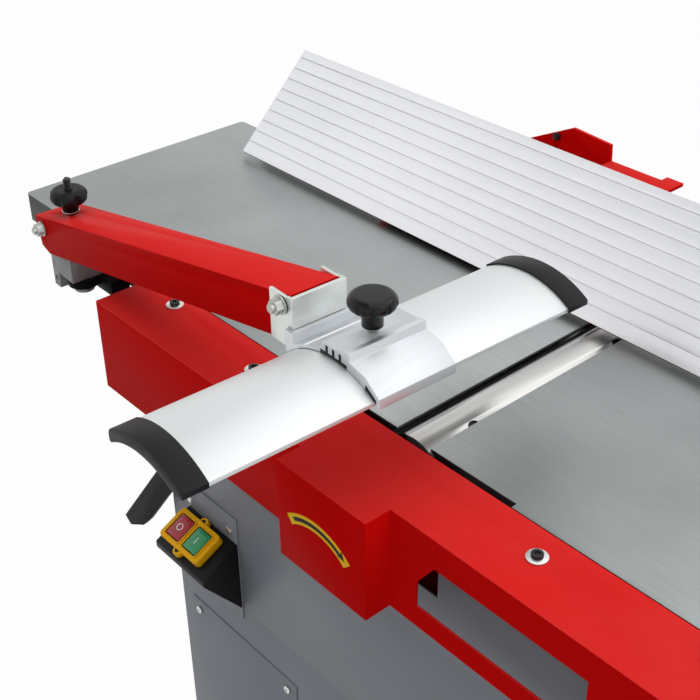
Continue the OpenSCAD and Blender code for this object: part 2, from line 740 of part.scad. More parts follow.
module fence_guide() color([0.2, 0.2, 0.21]) fence_place() difference() {
  block([guide_x[0], guide_x[1]], [plane_w + step_out, plane_w + 60], [-11, slide_z[0] - gap]);
  rod_z([-13, 2], 5, clamp_x, clamp_y);
}

module fence_slide() color([0.85, 0.08, 0.07]) fence_place() difference() {
  union() {
    block(guide_x, [plane_w - 48, plane_w + 202], slide_z);
    // Upstand and flange at the back
    over_y([plane_w + 199, plane_w + 203])
      polygon([[-336.5, 1], [-140, 1], [-140, 33], [-201.7, 33], [-203.1, 53.6], [-259.7, 57.3],
        [-336.5, 18.4]]);
    block([-202.9, -112], [plane_w + 182, plane_w + 203], [29, 33]);
    block([-131.4, -109.2], [plane_w + 182, plane_w + 214], [29, 33]);
    // Ears that carry the hinge of the fence
    for (x = ear_x) {
      block([x, x + ear_w], [fence_hinge[0], fence_hinge[0] + 20], slide_z);
      rod_x([x, x + ear_w], ear_r, fence_hinge[0], fence_hinge[1]);
    }
  }
  block([clamp_x - 5.5, clamp_x + 5.5], [clamp_y - 42, clamp_y + 157], [0, 8]);
  for (x = ear_x) rod_x([x - 1, x + ear_w + 1], fence_pin_r, fence_hinge[0], fence_hinge[1]);
  for (p = slide_screws) rod_y([plane_w + 198, plane_w + 204], 2.6, p[0], p[1]);
}

// Hinge pins of the fence and the screws in the upstand
module fence_bolts() color([0.07, 0.07, 0.08]) fence_place() {
  for (x = ear_x) {
    s = x == ear_x[0] ? 1 : -1;
    a = x + (s > 0 ? 0 : ear_w);
    rod_x([min(a, a + s * 30), max(a, a + s * 30)], fence_pin_r, fence_hinge[0], fence_hinge[1]);
    rod_x([min(a, a - s * 3), max(a, a - s * 3)], 5, fence_hinge[0], fence_hinge[1]);
  }
  for (p = slide_screws) {
    rod_y([plane_w + 199, plane_w + 206], 2.5, p[0], p[1]);
    rod_y([plane_w + 195.5, plane_w + 199], 5, p[0], p[1]);
  }
}

module fence_clamp_lever() color([0.07, 0.07, 0.08]) fence_place() {
  rod_z([-10.5, 20], 4.9, clamp_x, clamp_y);
  rod_z([slide_z[1] + gap, slide_z[1] + 2], 13, clamp_x, clamp_y);
  rod_z([slide_z[1] + 2, slide_z[1] + 16], 9, clamp_x, clamp_y);
  translate([clamp_x, clamp_y, slide_z[1] + 10]) rotate([0, 0, 180]) {
    rod_x([0, 56], 5, 0, 0);
    rod_x([56, 68], 7, 0, 0);
  }
}

// Fence profile drawn along its face, which leans back by 45 degrees from the lower edge
module fence_profile() color([0.8, 0.81, 0.82]) difference() {
  union() {
    translate([fence_x0, -hw + fence_y, tz + 8]) rotate([45, 0, 0]) over_x([0, fence_len]) difference() {
      union() {
        translate([0, -5]) square([fence_w, 5]);
        translate([30, -24]) square([90, 20]);
      }
      for (i = [0:8]) translate([15.3 + groove_p * i, -groove_d]) square([1, groove_d + 1]);
      translate([33, -21]) square([84, 16]);
    }
    fence_place() rod_x([ear_x[0] + ear_w + gap, ear_x[1] - gap], 4.5, fence_hinge[0], fence_hinge[1]);
  }
  fence_place() {
    rod_x([ear_x[0] - 1, ear_x[1] + ear_w + 1], fence_pin_r + run, fence_hinge[0], fence_hinge[1]);
    for (x = ear_x) rod_x([x - 4, x + ear_w + 4], ear_r + gap, fence_hinge[0], fence_hinge[1]);
  }
}

module guard_mount() color([0.55, 0.55, 0.55]) translate([pivot[0], -hw, tz]) difference() {
  union() {
    block([4, 35], [-29, -step_out], [-39, -21.3]);
    block([4, 35], [-18, -step_out], [-22, -4]);
    rod_z([-31, -20.5 - gap], 17, 0, pivot[1]);
    block([-3, 15], [pivot[1], -20], [-31, -21.3]);
  }
  rod_z([-40, -15], swivel_r + run, 0, pivot[1]);
}

module guard_pivot_block() color([0.5, 0.5, 0.5]) guard_place() difference() {
  union() {
    block([pivot[0] - 32, pivot[0] + 13], [-61, -21], [-20.5, 26]);
    block([pivot[0] - 25, pivot[0] + 13], [-61, -21], [20, 33]);
    rod_y([-61, -21], 8, arm_pin[0], arm_pin[1]);
    block([pivot[0] - 32, pivot[0] - 19], [-61, -40], [-39, -20]);
    rod_z([-33.3, -20], swivel_r, pivot[0], pivot[1]);
    rod_z([-38, -31.3], swivel_r + 3, pivot[0], pivot[1]);
  }
  rod_y([-62, -20], bolt_r + run, arm_pin[0], arm_pin[1]);
  rod_z([-14, 40], stud_r + 0.4, stud_x, stud_y);
  rod_y([-62, -50], 3, pivot[0] - 25.5, -29);
  // Round back corner, which clears the mount and the table edge as the block swings
  difference() {
    block([pivot[0] - 33, pivot[0] - 10], [pivot[1], -20], [-21, gap]);
    rod_z([-22, 1], 23.5, pivot[0], pivot[1]);
  }
}

// Arm: channel with its open side down, drawn along its own length
module guard_arm() color([0.85, 0.08, 0.07]) guard_place() difference() {
  slot_r = stud_r + 1.3;
  translate([arm_x, 0, arm_z]) rotate([0, -arm_pitch, 0]) difference() {
    over_y(arm_y) polygon([[0, 0], [arm_len, 0], [arm_len - 18, -arm_d], [14, -arm_d], [0, 8 - arm_d]]);
    block([-1, arm_len + 1], [arm_y[0] + arm_t, arm_y[1] - arm_t], [-arm_d - 1, -arm_t]);
  }
  for (p = [arm_pin, tip_pin]) rod_y([arm_y[0] - 1, arm_y[1] + 1], bolt_r + run, p[0], p[1]);
  for (d = [-3, 4]) rod_z([35, 60], slot_r, stud_x + d, stud_y);
  block([stud_x - 3, stud_x + 4], [stud_y - slot_r, stud_y + slot_r], [35, 60]);
}

module arm_bolts() color([0.7, 0.7, 0.72]) guard_place() {
  for (bolt = [[arm_pin, 0], [tip_pin, 4]]) {
    p = bolt[0];
    y = arm_y + [-bolt[1], bolt[1]];
    rod_y(y + [-11, 3], bolt_r, p[0], p[1]);
    rod_y([y[0] - 1.6, y[0]], 8.5, p[0], p[1]);
    hex_y([y[0] - 8, y[0] - 1.6], 7.2, p[0], p[1]);
    hex_y([y[1], y[1] + 5.5], 7.2, p[0], p[1]);
  }
}

module height_stud() color([0.08, 0.08, 0.09]) guard_place() {
  rod_z([-4, 90], stud_r, stud_x, stud_y);
}

// Round knob head with finger flutes, flat on its neck
module knob_head(r, h, n, cut) difference() {
  rotate_extrude() {
    translate([r - h / 2, h / 2]) circle(r = h / 2);
    square([r - h / 2, h]);
  }
  for (i = [0:n - 1]) rotate(i * 360 / n) translate([r + cut * 0.6, 0, -1]) cylinder(r = cut, h = h + 2);
}

module height_knob() color([0.06, 0.06, 0.07]) guard_place() translate([stud_x, stud_y, 52]) difference() {
  union() {
    cylinder(r = 8.7, h = 11);
    translate([0, 0, 10]) knob_head(20, 16, 6, 7);
  }
  translate([0, 0, -1]) cylinder(r = stud_r + run, h = 30);
}

module guard_bracket() color([0.75, 0.76, 0.77]) guard_place() difference() {
  side = [tip_pin[0], tip_pin[0]];
  across = arm_y + [-3.5, 3.5];
  union() {
    block(side + [11, 14.5], across, [121, 148.7]);
    for (y = [across[0], across[1] - 3.2]) {
      block(side + [-16, 7.7], [y, y + 3.2], [101, 147]);
      block(side + [7, 14.5], [y, y + 3.2], [121, 148]);
    }
    block(side + [4.2, 7.7], across, [101, 119.5]);
  }
  rod_y(across + [-1, 1], bolt_r + run, tip_pin[0], tip_pin[1]);
}

// Saddle profile over the guard, seen along the guard
module saddle_outline() difference() {
  polygon([[-55.9, 100.7], [-55.9, 120.4], [-45.4, 120.7], [-45.6, 110.8], [-30.3, 119], [-29, 118.2],
    [-19, 121.8], [-11.6, 124.4], [-6.5, 133], [17.1, 134.7], [20.2, 136.4], [25, 136.4],
    [26.3, 129.2], [44.1, 125.9],
    [60.5, 114], [61.2, 103.5], [57.6, 103.5], [57, 90], [-50, 90], [-50, 100.7]]);
  translate([guard_x, guard_cz]) circle(r = guard_r + 0.5, $fn = 256);
  translate([-9.9 - seat, 100]) square([32.2 + 2 * seat, 25 + seat]);
  for (x = tooth_x) translate([x - 1.5 - seat, 122]) square([3 + 2 * seat, 9 + seat]);
  polygon([[43, 110], [44.7, 119.6], [56.9, 111.2], [56.9, 90], [43, 90]]);
}

module guard_saddle() color([0.82, 0.83, 0.84]) guard_place() difference() {
  over_y(saddle_y) saddle_outline();
  rod_z([125, 140], 4.5 + run, knob_x, knob_y);
}

module saddle_pads() color([0.06, 0.06, 0.07]) guard_place() over_y(saddle_y) {
  difference() {
    union() {
      translate([-9.9, 120]) square([32.2, 5]);
      for (x = tooth_x) translate([x - 1.5, 122]) square([3, 9]);
    }
    translate([guard_x, guard_cz]) circle(r = guard_r + gap, $fn = 256);
  }
  difference() {
    polygon([[44, 112], [44.9, 119.3], [56.7, 111.1], [56.7, 105.3], [55.4, 105.3]]);
    translate([guard_x, guard_cz]) circle(r = guard_r + gap, $fn = 256);
  }
}

module clamp_knob() guard_place() {
  color([0.7, 0.7, 0.72]) rod_z([131.8, 141], 4.5, knob_x, knob_y);
  color([0.03, 0.03, 0.035]) {
    rod_z([139.5, 155.5], 8.85, knob_x, knob_y);
    translate([knob_x, knob_y, 154]) knob_head(clamp_knob_d / 2, 13, 10, 3);
  }
}

// Curved profile of the guard: part of a ring with rounded long edges
module guard_curve(r_out, r_in, half) intersection() {
  difference() {
    circle(r = r_out, $fn = 128);
    circle(r = r_in, $fn = 128);
  }
  translate([-half, 60]) square([2 * half, 60]);
}

module guard_profile() color([0.9, 0.91, 0.92]) guard_place() {
  translate([guard_x, 0, guard_cz]) over_y([guard_y0, guard_y1]) {
    guard_curve(guard_r, guard_r - guard_wall, guard_half);
    for (s = [-1, 1]) translate([s * (guard_half - 2), 75.9]) circle(r = 2);
  }
}

module guard_end_caps() color([0.1, 0.1, 0.11]) guard_place() translate([guard_x, 0, guard_cz]) {
  for (y = [[guard_y0 - cap_y, guard_y0 + cap_in], [guard_y1 - cap_in, guard_y1 + cap_y]])
    difference() {
      over_y(y) guard_curve(guard_r + 1.6, guard_r - 9, guard_half + 1.5);
      over_y([guard_y0 - seat, guard_y1 + seat]) {
        guard_curve(guard_r + seat, guard_r - guard_wall - seat, guard_half + seat);
        for (s = [-1, 1]) translate([s * (guard_half - 2), 75.9]) circle(r = 2.2);
      }
    }
}

base_cabinet();
front_panel();
front_side_frame();
rear_side_frame();
front_cover();
rear_cover();
cover_screws();
bearing_housings();
cutter_bearings();
motor();
drive_belt();
feed_chain();
roller_bushes();
kickback_shaft();
table_column();
dust_hood();
switch_plate();
switch_box();
switch_frame();
cable_gland();
hinge_pins();
cutter_block();
planer_knives();
knife_wedges();
cutter_pulley();
motor_shaft();
motor_pulley();
feed_reducer();
infeed_roller();
outfeed_roller();
kickback_fingers();
thickness_table();
lift_screw();
handwheel_shaft();
handwheel();
handwheel_grip();
outfeed_table();
fence_guide();
guard_mount();
infeed_carrier();
infeed_table();
depth_lever();
outfeed_lock_lever();
infeed_lock_lever();
fence_slide();
fence_bolts();
fence_profile();
fence_clamp_lever();
guard_pivot_block();
guard_arm();
arm_bolts();
height_stud();
height_knob();
guard_bracket();
guard_saddle();
saddle_pads();
clamp_knob();
guard_profile();
guard_end_caps();
stop_button();
start_button();
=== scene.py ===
# %% [markdown]
# Planer thicknesser in Blender
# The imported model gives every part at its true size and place, in metres. This file gives the
# parts their finish: edges that catch the light, paint, ground steel, aluminium and plastic. It
# also adds the small things that a drawing leaves out, such as threads, screws, louvres and marks.

# %% Load the frame
import json
from math import cos, pi, radians, sin, sqrt

import bpy
from mathutils import Matrix, Vector


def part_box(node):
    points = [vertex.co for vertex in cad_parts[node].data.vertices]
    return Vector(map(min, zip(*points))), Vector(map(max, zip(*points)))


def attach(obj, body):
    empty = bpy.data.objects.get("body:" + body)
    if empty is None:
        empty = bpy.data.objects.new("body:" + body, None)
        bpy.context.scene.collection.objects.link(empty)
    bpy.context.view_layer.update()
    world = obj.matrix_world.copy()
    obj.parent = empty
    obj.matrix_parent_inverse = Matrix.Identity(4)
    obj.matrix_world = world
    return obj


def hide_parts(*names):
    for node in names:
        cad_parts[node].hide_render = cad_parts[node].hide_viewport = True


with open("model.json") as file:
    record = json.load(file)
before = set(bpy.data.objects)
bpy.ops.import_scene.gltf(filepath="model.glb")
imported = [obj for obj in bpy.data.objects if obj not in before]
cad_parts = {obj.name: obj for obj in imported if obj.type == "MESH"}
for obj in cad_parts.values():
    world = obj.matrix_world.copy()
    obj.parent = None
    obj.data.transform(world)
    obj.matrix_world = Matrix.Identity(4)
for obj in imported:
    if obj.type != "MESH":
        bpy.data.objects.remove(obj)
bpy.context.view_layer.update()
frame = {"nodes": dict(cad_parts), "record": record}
body_of_node = {n: b for b, nodes in frame["record"]["behaviour"]["bodies"].items() for n in nodes}

# %% [markdown]
# The camera
# A photograph of a machine is told by its straight edges: where they meet gives the turn, the
# tilt and the lens. Turning the camera by eye would take many tries, so its three directions are
# given instead. It stands at the front right, looks down by about 33 degrees and turns a little
# less than one degree about its own axis.

# %% Camera
to_the_right = Vector((0.65973, 0.75141, -0.01194))
downwards = Vector((0.40069, -0.36516, -0.84030))
ahead = Vector((-0.63577, 0.54959, -0.54199))
focal_length_in_pixels = 1250.1
picture_width_in_pixels = 700
sensor_width = 36
bpy.ops.object.select_all(action="DESELECT")
bpy.ops.object.camera_add(location=(0.6135, -0.7559, 1.4929))
camera = bpy.context.object
camera.name = "photo_camera"
camera.rotation_euler = Matrix((to_the_right, -downwards, -ahead)).transposed().to_euler()
camera.data.sensor_width = sensor_width
camera.data.lens = focal_length_in_pixels / picture_width_in_pixels * sensor_width
camera.data.clip_end = 100
bpy.context.scene.camera = camera
print("lens", round(camera.data.lens, 2), "mm")

# %% [markdown]
# Lamps
# The machine was photographed in a white room with large soft lights. Small lamps would draw hard
# shadows and bright dots on the steel, so all three are wide areas: one over the tables for the
# gradients on the steel, one that fills the front, and one that brightens the faces at the right.

# %% Lamps
def soft_lamp(name, place, target, size, power):
    bpy.ops.object.light_add(type="AREA", location=place)
    lamp = bpy.context.object
    lamp.name = name
    lamp.data.shape = "RECTANGLE"
    lamp.data.size, lamp.data.size_y = size
    lamp.data.energy = power
    lamp.rotation_euler = (Vector(target) - Vector(place)).to_track_quat("-Z", "Y").to_euler()
    return lamp


soft_lamp("over_tables", (0.7, 0.7, 3.6), (0, 0, 0.8), (4.4, 3.4), 50)
soft_lamp("front_fill", (1.6, -3.0, 1.6), (0, 0, 0.6), (2.2, 1.4), 2)
soft_lamp("right_side", (3.4, -0.6, 1.8), (0, 0, 0.8), (1.8, 1.8), 4)
print("3 soft lamps")

# %% [markdown]
# What the camera sees itself
# A white background made by more light would bleach the machine. The Light Path node tells what
# kind of ray asks for a colour, so rays from the camera, from mirrors and through glass can find
# white, while the rays that light the machine find a dimmer room.

# %% Rays that see the background
def is_seen_directly(nodes, links, mirrored=1.0):
    """1 for what the camera sees itself or through glass, and mirrored for what it sees in metal."""
    path = nodes.new("ShaderNodeLightPath")
    in_mirror = nodes.new("ShaderNodeMath")
    in_mirror.operation = "MULTIPLY"
    in_mirror.inputs[1].default_value = mirrored
    links.new(path.outputs["Is Glossy Ray"], in_mirror.inputs[0])
    total = in_mirror.outputs[0]
    for ray in ("Is Camera Ray", "Is Transmission Ray"):
        larger = nodes.new("ShaderNodeMath")
        larger.operation = "MAXIMUM"
        links.new(total, larger.inputs[0])
        links.new(path.outputs[ray], larger.inputs[1])
        total = larger.outputs[0]
    return total


print("one test for three kinds of ray")

# %% [markdown]
# The white room
# A room is brighter overhead than near the floor, and metal shows that as a soft gradient. An
# environment picture could give it too, but two plain backgrounds whose strength goes with the
# height of the direction are enough for a studio.

# %% World
world = bpy.data.worlds.new("white_room")
world.use_nodes = True
bpy.context.scene.world = world
room_nodes, room_links = world.node_tree.nodes, world.node_tree.links
room_nodes.clear()
room_light = room_nodes.new("ShaderNodeBackground")
room_light.inputs["Color"].default_value = (0.95, 0.97, 1.0, 1)
room_seen = room_nodes.new("ShaderNodeBackground")
room_seen.inputs["Color"].default_value = (1, 1, 1, 1)
towards = room_nodes.new("ShaderNodeSeparateXYZ")
room_links.new(room_nodes.new("ShaderNodeTexCoord").outputs["Generated"], towards.inputs[0])


def by_height(shader, low, high, strength_low, strength_high):
    """The strength of a background goes with the height of the direction that is looked in."""
    ramp = room_nodes.new("ShaderNodeMapRange")
    for label, number in (("From Min", low), ("From Max", high),
                          ("To Min", strength_low), ("To Max", strength_high)):
        ramp.inputs[label].default_value = number
    room_links.new(towards.outputs["Z"], ramp.inputs["Value"])
    room_links.new(ramp.outputs[0], shader.inputs["Strength"])


by_height(room_light, -0.3, 1.0, 0.1, 0.95)
by_height(room_seen, 0.6, 1.0, 1.0, 0.45)
which = room_nodes.new("ShaderNodeMixShader")
room_links.new(is_seen_directly(room_nodes, room_links), which.inputs["Fac"])
room_links.new(room_light.outputs[0], which.inputs[1])
room_links.new(room_seen.outputs[0], which.inputs[2])
room_links.new(which.outputs[0], room_nodes.new("ShaderNodeOutputWorld").inputs["Surface"])
bpy.context.scene.view_settings.view_transform = "Standard"
print("world", world.name)

# %% [markdown]
# Floor
# The machine stands on a white sweep that shows only its shadow. A plain white floor would throw
# light up at the machine, so it is grey paint for that light, and almost only a white glow for
# the camera. The last two parts in a hundred of paint keep the shadow.

# %% Floor
floor_glow_share = 0.98
bpy.ops.mesh.primitive_plane_add(size=40, location=(0, 0, 0))
floor = bpy.context.object
floor.name = "floor"
floor_paint = bpy.data.materials.new("pale_floor")
floor_paint.use_nodes = True
floor_nodes, floor_links = floor_paint.node_tree.nodes, floor_paint.node_tree.links
floor_nodes.clear()
grey_paint = floor_nodes.new("ShaderNodeBsdfDiffuse")
grey_paint.inputs["Color"].default_value = (0.4, 0.4, 0.4, 1)
white_glow = floor_nodes.new("ShaderNodeEmission")
white_glow.inputs["Color"].default_value = (1, 1, 1, 1)
share = floor_nodes.new("ShaderNodeMath")
share.operation = "MULTIPLY"
share.inputs[1].default_value = floor_glow_share
floor_links.new(is_seen_directly(floor_nodes, floor_links, 0.9), share.inputs[0])
blend = floor_nodes.new("ShaderNodeMixShader")
floor_links.new(share.outputs[0], blend.inputs["Fac"])
floor_links.new(grey_paint.outputs[0], blend.inputs[1])
floor_links.new(white_glow.outputs[0], blend.inputs[2])
floor_links.new(blend.outputs[0], floor_nodes.new("ShaderNodeOutputMaterial").inputs["Surface"])
floor.data.materials.append(floor_paint)
print("floor", tuple(round(v) for v in floor.dimensions[:2]), "m")

# %% [markdown]
# Effects that several finishes share
# Paint, ground steel and castings differ in colour, but they share the same small effects. Each
# effect could be drawn again in every material. As a node group it is built once, and a change in
# the group changes every finish that uses it.

# %% Group maker
def new_group(name, inputs, outputs):
    """An empty effect with its sockets, and the place on the piece that its pattern follows."""
    group = bpy.data.node_groups.new(name, "ShaderNodeTree")
    for label, kind, value in inputs:
        socket = group.interface.new_socket(label, in_out="INPUT", socket_type=kind)
        socket.default_value = value
    for label in outputs:
        group.interface.new_socket(label, in_out="OUTPUT", socket_type="NodeSocketFloat")
    start = group.nodes.new("NodeGroupInput")
    end = group.nodes.new("NodeGroupOutput")
    place = group.nodes.new("ShaderNodeTexCoord")
    return group, start, end, place.outputs["Object"]


print("groups can be made")

# %% [markdown]
# Three small steps are used in every effect: a cloud of noise, a range that is stretched so that
# its contrast shows, and a sum. Each takes the tree that it adds its node to.

# %% Steps inside a tree
def noise(tree, vector, scale, detail=4.0, roughness=0.55):
    node = tree.nodes.new("ShaderNodeTexNoise")
    node.inputs["Detail"].default_value = detail
    node.inputs["Roughness"].default_value = roughness
    tree.links.new(vector, node.inputs["Vector"])
    if isinstance(scale, (int, float)):
        node.inputs["Scale"].default_value = scale
    else:
        tree.links.new(scale, node.inputs["Scale"])
    return node.outputs[0]


def stretch(tree, value, low, high, out_low=0.0, out_high=1.0):
    node = tree.nodes.new("ShaderNodeMapRange")
    for label, number in (("From Min", low), ("From Max", high), ("To Min", out_low), ("To Max", out_high)):
        node.inputs[label].default_value = number
    tree.links.new(value, node.inputs["Value"])
    return node.outputs[0]


def combine(tree, kind, a, b):
    node = tree.nodes.new("ShaderNodeMath")
    node.operation = kind
    for socket, value in ((node.inputs[0], a), (node.inputs[1], b)):
        if isinstance(value, (int, float)):
            socket.default_value = value
        else:
            tree.links.new(value, socket)
    return node.outputs[0]


print("noise, stretch and combine")

# %% [markdown]
# Powder coating has a skin like an orange's: shallow waves about a millimetre wide, and a tone
# that drifts over the whole sheet. Waves that small would need millions of faces, so they are a
# bump.

# %% Orange peel of powder coating
peel, group_in, group_out, at = new_group(
    "orange_peel", [("Scale", "NodeSocketFloat", 650.0)], ["Height", "Tone"])
peel.links.new(noise(peel, at, group_in.outputs["Scale"], 1.5), group_out.inputs["Height"])
peel.links.new(stretch(peel, noise(peel, at, 7.0, 3.0), 0.3, 0.7), group_out.inputs["Tone"])
print(peel.name)

# %% [markdown]
# A grinding wheel or a brush leaves long fine lines. Noise that is squeezed across the lines and drawn out
# along them gives just that. A wide second noise makes darker cloudy patches: the marks that oil and hands
# leave on a table, and where they are strong, painted shade as well.

# %% Streaks of a grinding wheel or a brush
streaks, group_in, group_out, at = new_group(
    "grinding", [("Stretch", "NodeSocketVector", (10.0, 900.0, 900.0)),
                 ("Patches", "NodeSocketFloat", 5.0)], ["Height", "Streak", "Cloud"])
drawn_out = streaks.nodes.new("ShaderNodeMapping")
streaks.links.new(at, drawn_out.inputs["Vector"])
streaks.links.new(group_in.outputs["Stretch"], drawn_out.inputs["Scale"])
fine_lines = noise(streaks, drawn_out.outputs[0], 1.0, 3.0, 0.65)
streaks.links.new(fine_lines, group_out.inputs["Height"])
streaks.links.new(stretch(streaks, fine_lines, 0.3, 0.7), group_out.inputs["Streak"])
patchy = noise(streaks, at, group_in.outputs["Patches"], 3.0, 0.5)
streaks.links.new(stretch(streaks, patchy, 0.35, 0.65), group_out.inputs["Cloud"])
print(streaks.name)

# %% [markdown]
# Iron that was cast in sand keeps the sand's pimples. Fine and coarse noise are added, because one
# size alone looks like printed dots.

# %% Skin of a casting
casting, group_in, group_out, at = new_group(
    "casting_skin", [("Scale", "NodeSocketFloat", 420.0)], ["Height", "Tone"])
fine_grain = noise(casting, at, group_in.outputs["Scale"], 5.0, 0.7)
coarse_grain = noise(casting, at, 60.0, 2.0)
pimples = combine(casting, "ADD", fine_grain, coarse_grain)
casting.links.new(pimples, group_out.inputs["Height"])
casting.links.new(stretch(casting, pimples, 0.8, 1.25), group_out.inputs["Tone"])
print(casting.name)

# %% [markdown]
# Sawdust and finger marks lie in patches and specks, never evenly. The stronger of the two
# patterns is taken, and the amount is left to each finish.

# %% Dust and finger marks
dust, group_in, group_out, at = new_group("dust", [("Amount", "NodeSocketFloat", 0.3)], ["Mask"])
finger_marks = stretch(dust, noise(dust, at, 14.0, 6.0, 0.65), 0.45, 0.75)
specks = stretch(dust, noise(dust, at, 900.0, 2.0), 0.62, 0.72)
both_marks = combine(dust, "MAXIMUM", finger_marks, specks)
weighed_marks = combine(dust, "MULTIPLY", both_marks, group_in.outputs["Amount"])
dust.links.new(weighed_marks, group_out.inputs["Mask"])
print(dust.name)

# %% [markdown]
# What looks upwards is painted paler, partly as a thin film of dust and partly as painted sheen from the
# light overhead, so the top of a red cover is paler than its front. The height of the face's own normal
# tells how far it looks up.

# %% Dust and painted sheen on what looks upwards
dust_and_sheen_on_top, group_in, group_out, at = new_group(
    "dust_and_painted_sheen_on_top", [("Amount", "NodeSocketFloat", 0.05)], ["Mask"])
facing = dust_and_sheen_on_top.nodes.new("ShaderNodeSeparateXYZ")
dust_and_sheen_on_top.links.new(dust_and_sheen_on_top.nodes.new("ShaderNodeTexCoord").outputs["Normal"], facing.inputs[0])
# Upward faces turn paler, partly dust and partly painted sheen from the light above.
upwards = stretch(dust_and_sheen_on_top, facing.outputs["Z"], 0.6, 0.97)
uneven = stretch(dust_and_sheen_on_top, noise(dust_and_sheen_on_top, at, 9.0, 4.0, 0.6), 0.3, 0.7, 0.6, 1.0)
paler_top = combine(dust_and_sheen_on_top, "MULTIPLY", upwards, uneven)
weighed_paler_top = combine(dust_and_sheen_on_top, "MULTIPLY", paler_top, group_in.outputs["Amount"])
dust_and_sheen_on_top.links.new(weighed_paler_top, group_out.inputs["Mask"])
print(len(bpy.data.node_groups), "shared effects")

# %% [markdown]
# Finishes
# Every finish is a Principled BSDF whose colour, roughness and bump come from the groups. A value
# that is the same all over, such as Metallic, is set on the shader itself. The small class below
# keeps the last node of each chain, so that a finish reads as a list of coats.

# %% Finish maker
def tint(r, g, b):
    """A colour as read from a picture, 0 to 255, made linear for the shader."""
    linear = [c / 255 / 12.92 if c <= 10 else ((c / 255 + 0.055) / 1.055) ** 2.4 for c in (r, g, b)]
    return (*linear, 1)


class Finish:
    """One material under construction."""

    def __init__(self, name, colour, rough, metal=0.0, lacquer=0.0, specular=0.5):
        self.material = bpy.data.materials.new(name)
        self.material.use_nodes = True
        self.tree = self.material.node_tree
        self.shader = self.tree.nodes["Principled BSDF"]
        self.shader.inputs["Metallic"].default_value = metal
        self.shader.inputs["Coat Weight"].default_value = lacquer
        self.shader.inputs["Coat Roughness"].default_value = 0.12
        self.shader.inputs["Specular IOR Level"].default_value = specular
        self.rough = rough
        self.colour = self.constant_colour(colour)
        self.roughness = None
        self.height = None

    def constant_colour(self, colour):
        node = self.tree.nodes.new("ShaderNodeRGB")
        node.outputs[0].default_value = colour
        return node.outputs[0]

    def use(self, group, **values):
        node = self.tree.nodes.new("ShaderNodeGroup")
        node.node_tree = group
        for label, value in values.items():
            node.inputs[label].default_value = value
        return node

    def paint_over(self, mask, colour):
        """Mixes another colour in where the mask is 1."""
        mix = self.tree.nodes.new("ShaderNodeMix")
        mix.data_type = "RGBA"
        self.tree.links.new(mask, mix.inputs["Factor"])
        self.tree.links.new(self.colour, mix.inputs["A"])
        mix.inputs["B"].default_value = colour
        self.colour = mix.outputs["Result"]

    def roughen(self, mask, spread):
        """The roughness runs from rough to rough + spread with the mask."""
        now = stretch(self.tree, mask, 0.0, 1.0, self.rough, self.rough + spread)
        if self.roughness is not None:
            now = combine(self.tree, "MAXIMUM", self.roughness, now)
        self.roughness = now

    def bump(self, height, strength, distance):
        node = self.tree.nodes.new("ShaderNodeBump")
        node.inputs["Strength"].default_value = strength
        node.inputs["Distance"].default_value = distance
        self.tree.links.new(height, node.inputs["Height"])
        if self.height is not None:
            self.tree.links.new(self.height, node.inputs["Normal"])
        self.height = node.outputs[0]

    def done(self):
        self.tree.links.new(self.colour, self.shader.inputs["Base Color"])
        if self.roughness is None:
            self.shader.inputs["Roughness"].default_value = self.rough
        else:
            self.tree.links.new(self.roughness, self.shader.inputs["Roughness"])
        if self.height is not None:
            self.tree.links.new(self.height, self.shader.inputs["Normal"])
        return self.material


print("finishes are built coat by coat")

# %% [markdown]
# Powder coating
# It is sprayed on as dust and melted in an oven, so it is thick, a little wavy and evenly
# coloured. The red of the covers mirrors almost nothing in the photograph, so its specular level
# is close to zero. Where the sheet is folded the coat catches the light as a pale line, which is
# a second finish for those faces.

# %% Powder coat
def powder_coat(name, colour, deep, rough=0.3, gloss=0.2, dusty=0.02, top_paleness=0.02):
    coat = Finish(name, tint(*colour), rough, specular=gloss)
    skin = coat.use(peel, Scale=700.0)
    coat.paint_over(stretch(coat.tree, skin.outputs["Tone"], 0, 1, 0.0, 0.35), tint(*deep))
    coat.paint_over(coat.use(dust, Amount=dusty).outputs["Mask"], tint(205, 190, 180))
    # Faces that look upwards are painted paler, partly as dust and partly as painted sheen.
    coat.paint_over(coat.use(dust_and_sheen_on_top, Amount=top_paleness).outputs["Mask"], tint(240, 205, 195))
    coat.roughen(skin.outputs["Tone"], 0.07)
    coat.bump(skin.outputs["Height"], 0.12, 0.0004)
    return coat.done()


red_coat = powder_coat("red_powder_coat", (214, 12, 10), (202, 8, 7),
                       gloss=0.004, dusty=0.003, top_paleness=0.04)
# A paler red for the top front edge of the front cover, as a painted highlight along the fold.
red_painted_highlight = powder_coat("red_coat_painted_highlight", (246, 128, 118), (238, 100, 92), gloss=0.3, dusty=0.003)
grey_coat = powder_coat("grey_powder_coat", (136, 139, 146), (126, 129, 136), rough=0.42)
black_coat = powder_coat("black_powder_coat", (20, 20, 21), (14, 14, 15), rough=0.4, gloss=0.03,
                         dusty=0.006, top_paleness=0.01)
motor_paint = powder_coat("motor_paint", (62, 72, 84), (50, 58, 70), rough=0.4)
print(len(bpy.data.materials), "materials with the paints")

# %% [markdown]
# Ground and machined metal
# The table tops are plates that were ground flat. The wheel leaves fine lines along the feed, and the
# surface is satin with darker cloudy patches, partly where it was oiled and partly painted shade. An
# anisotropic shader could draw the lines too, but a stretched bump also shows in close views. All metals
# share one maker, and only the direction and the strength of the lines differ.

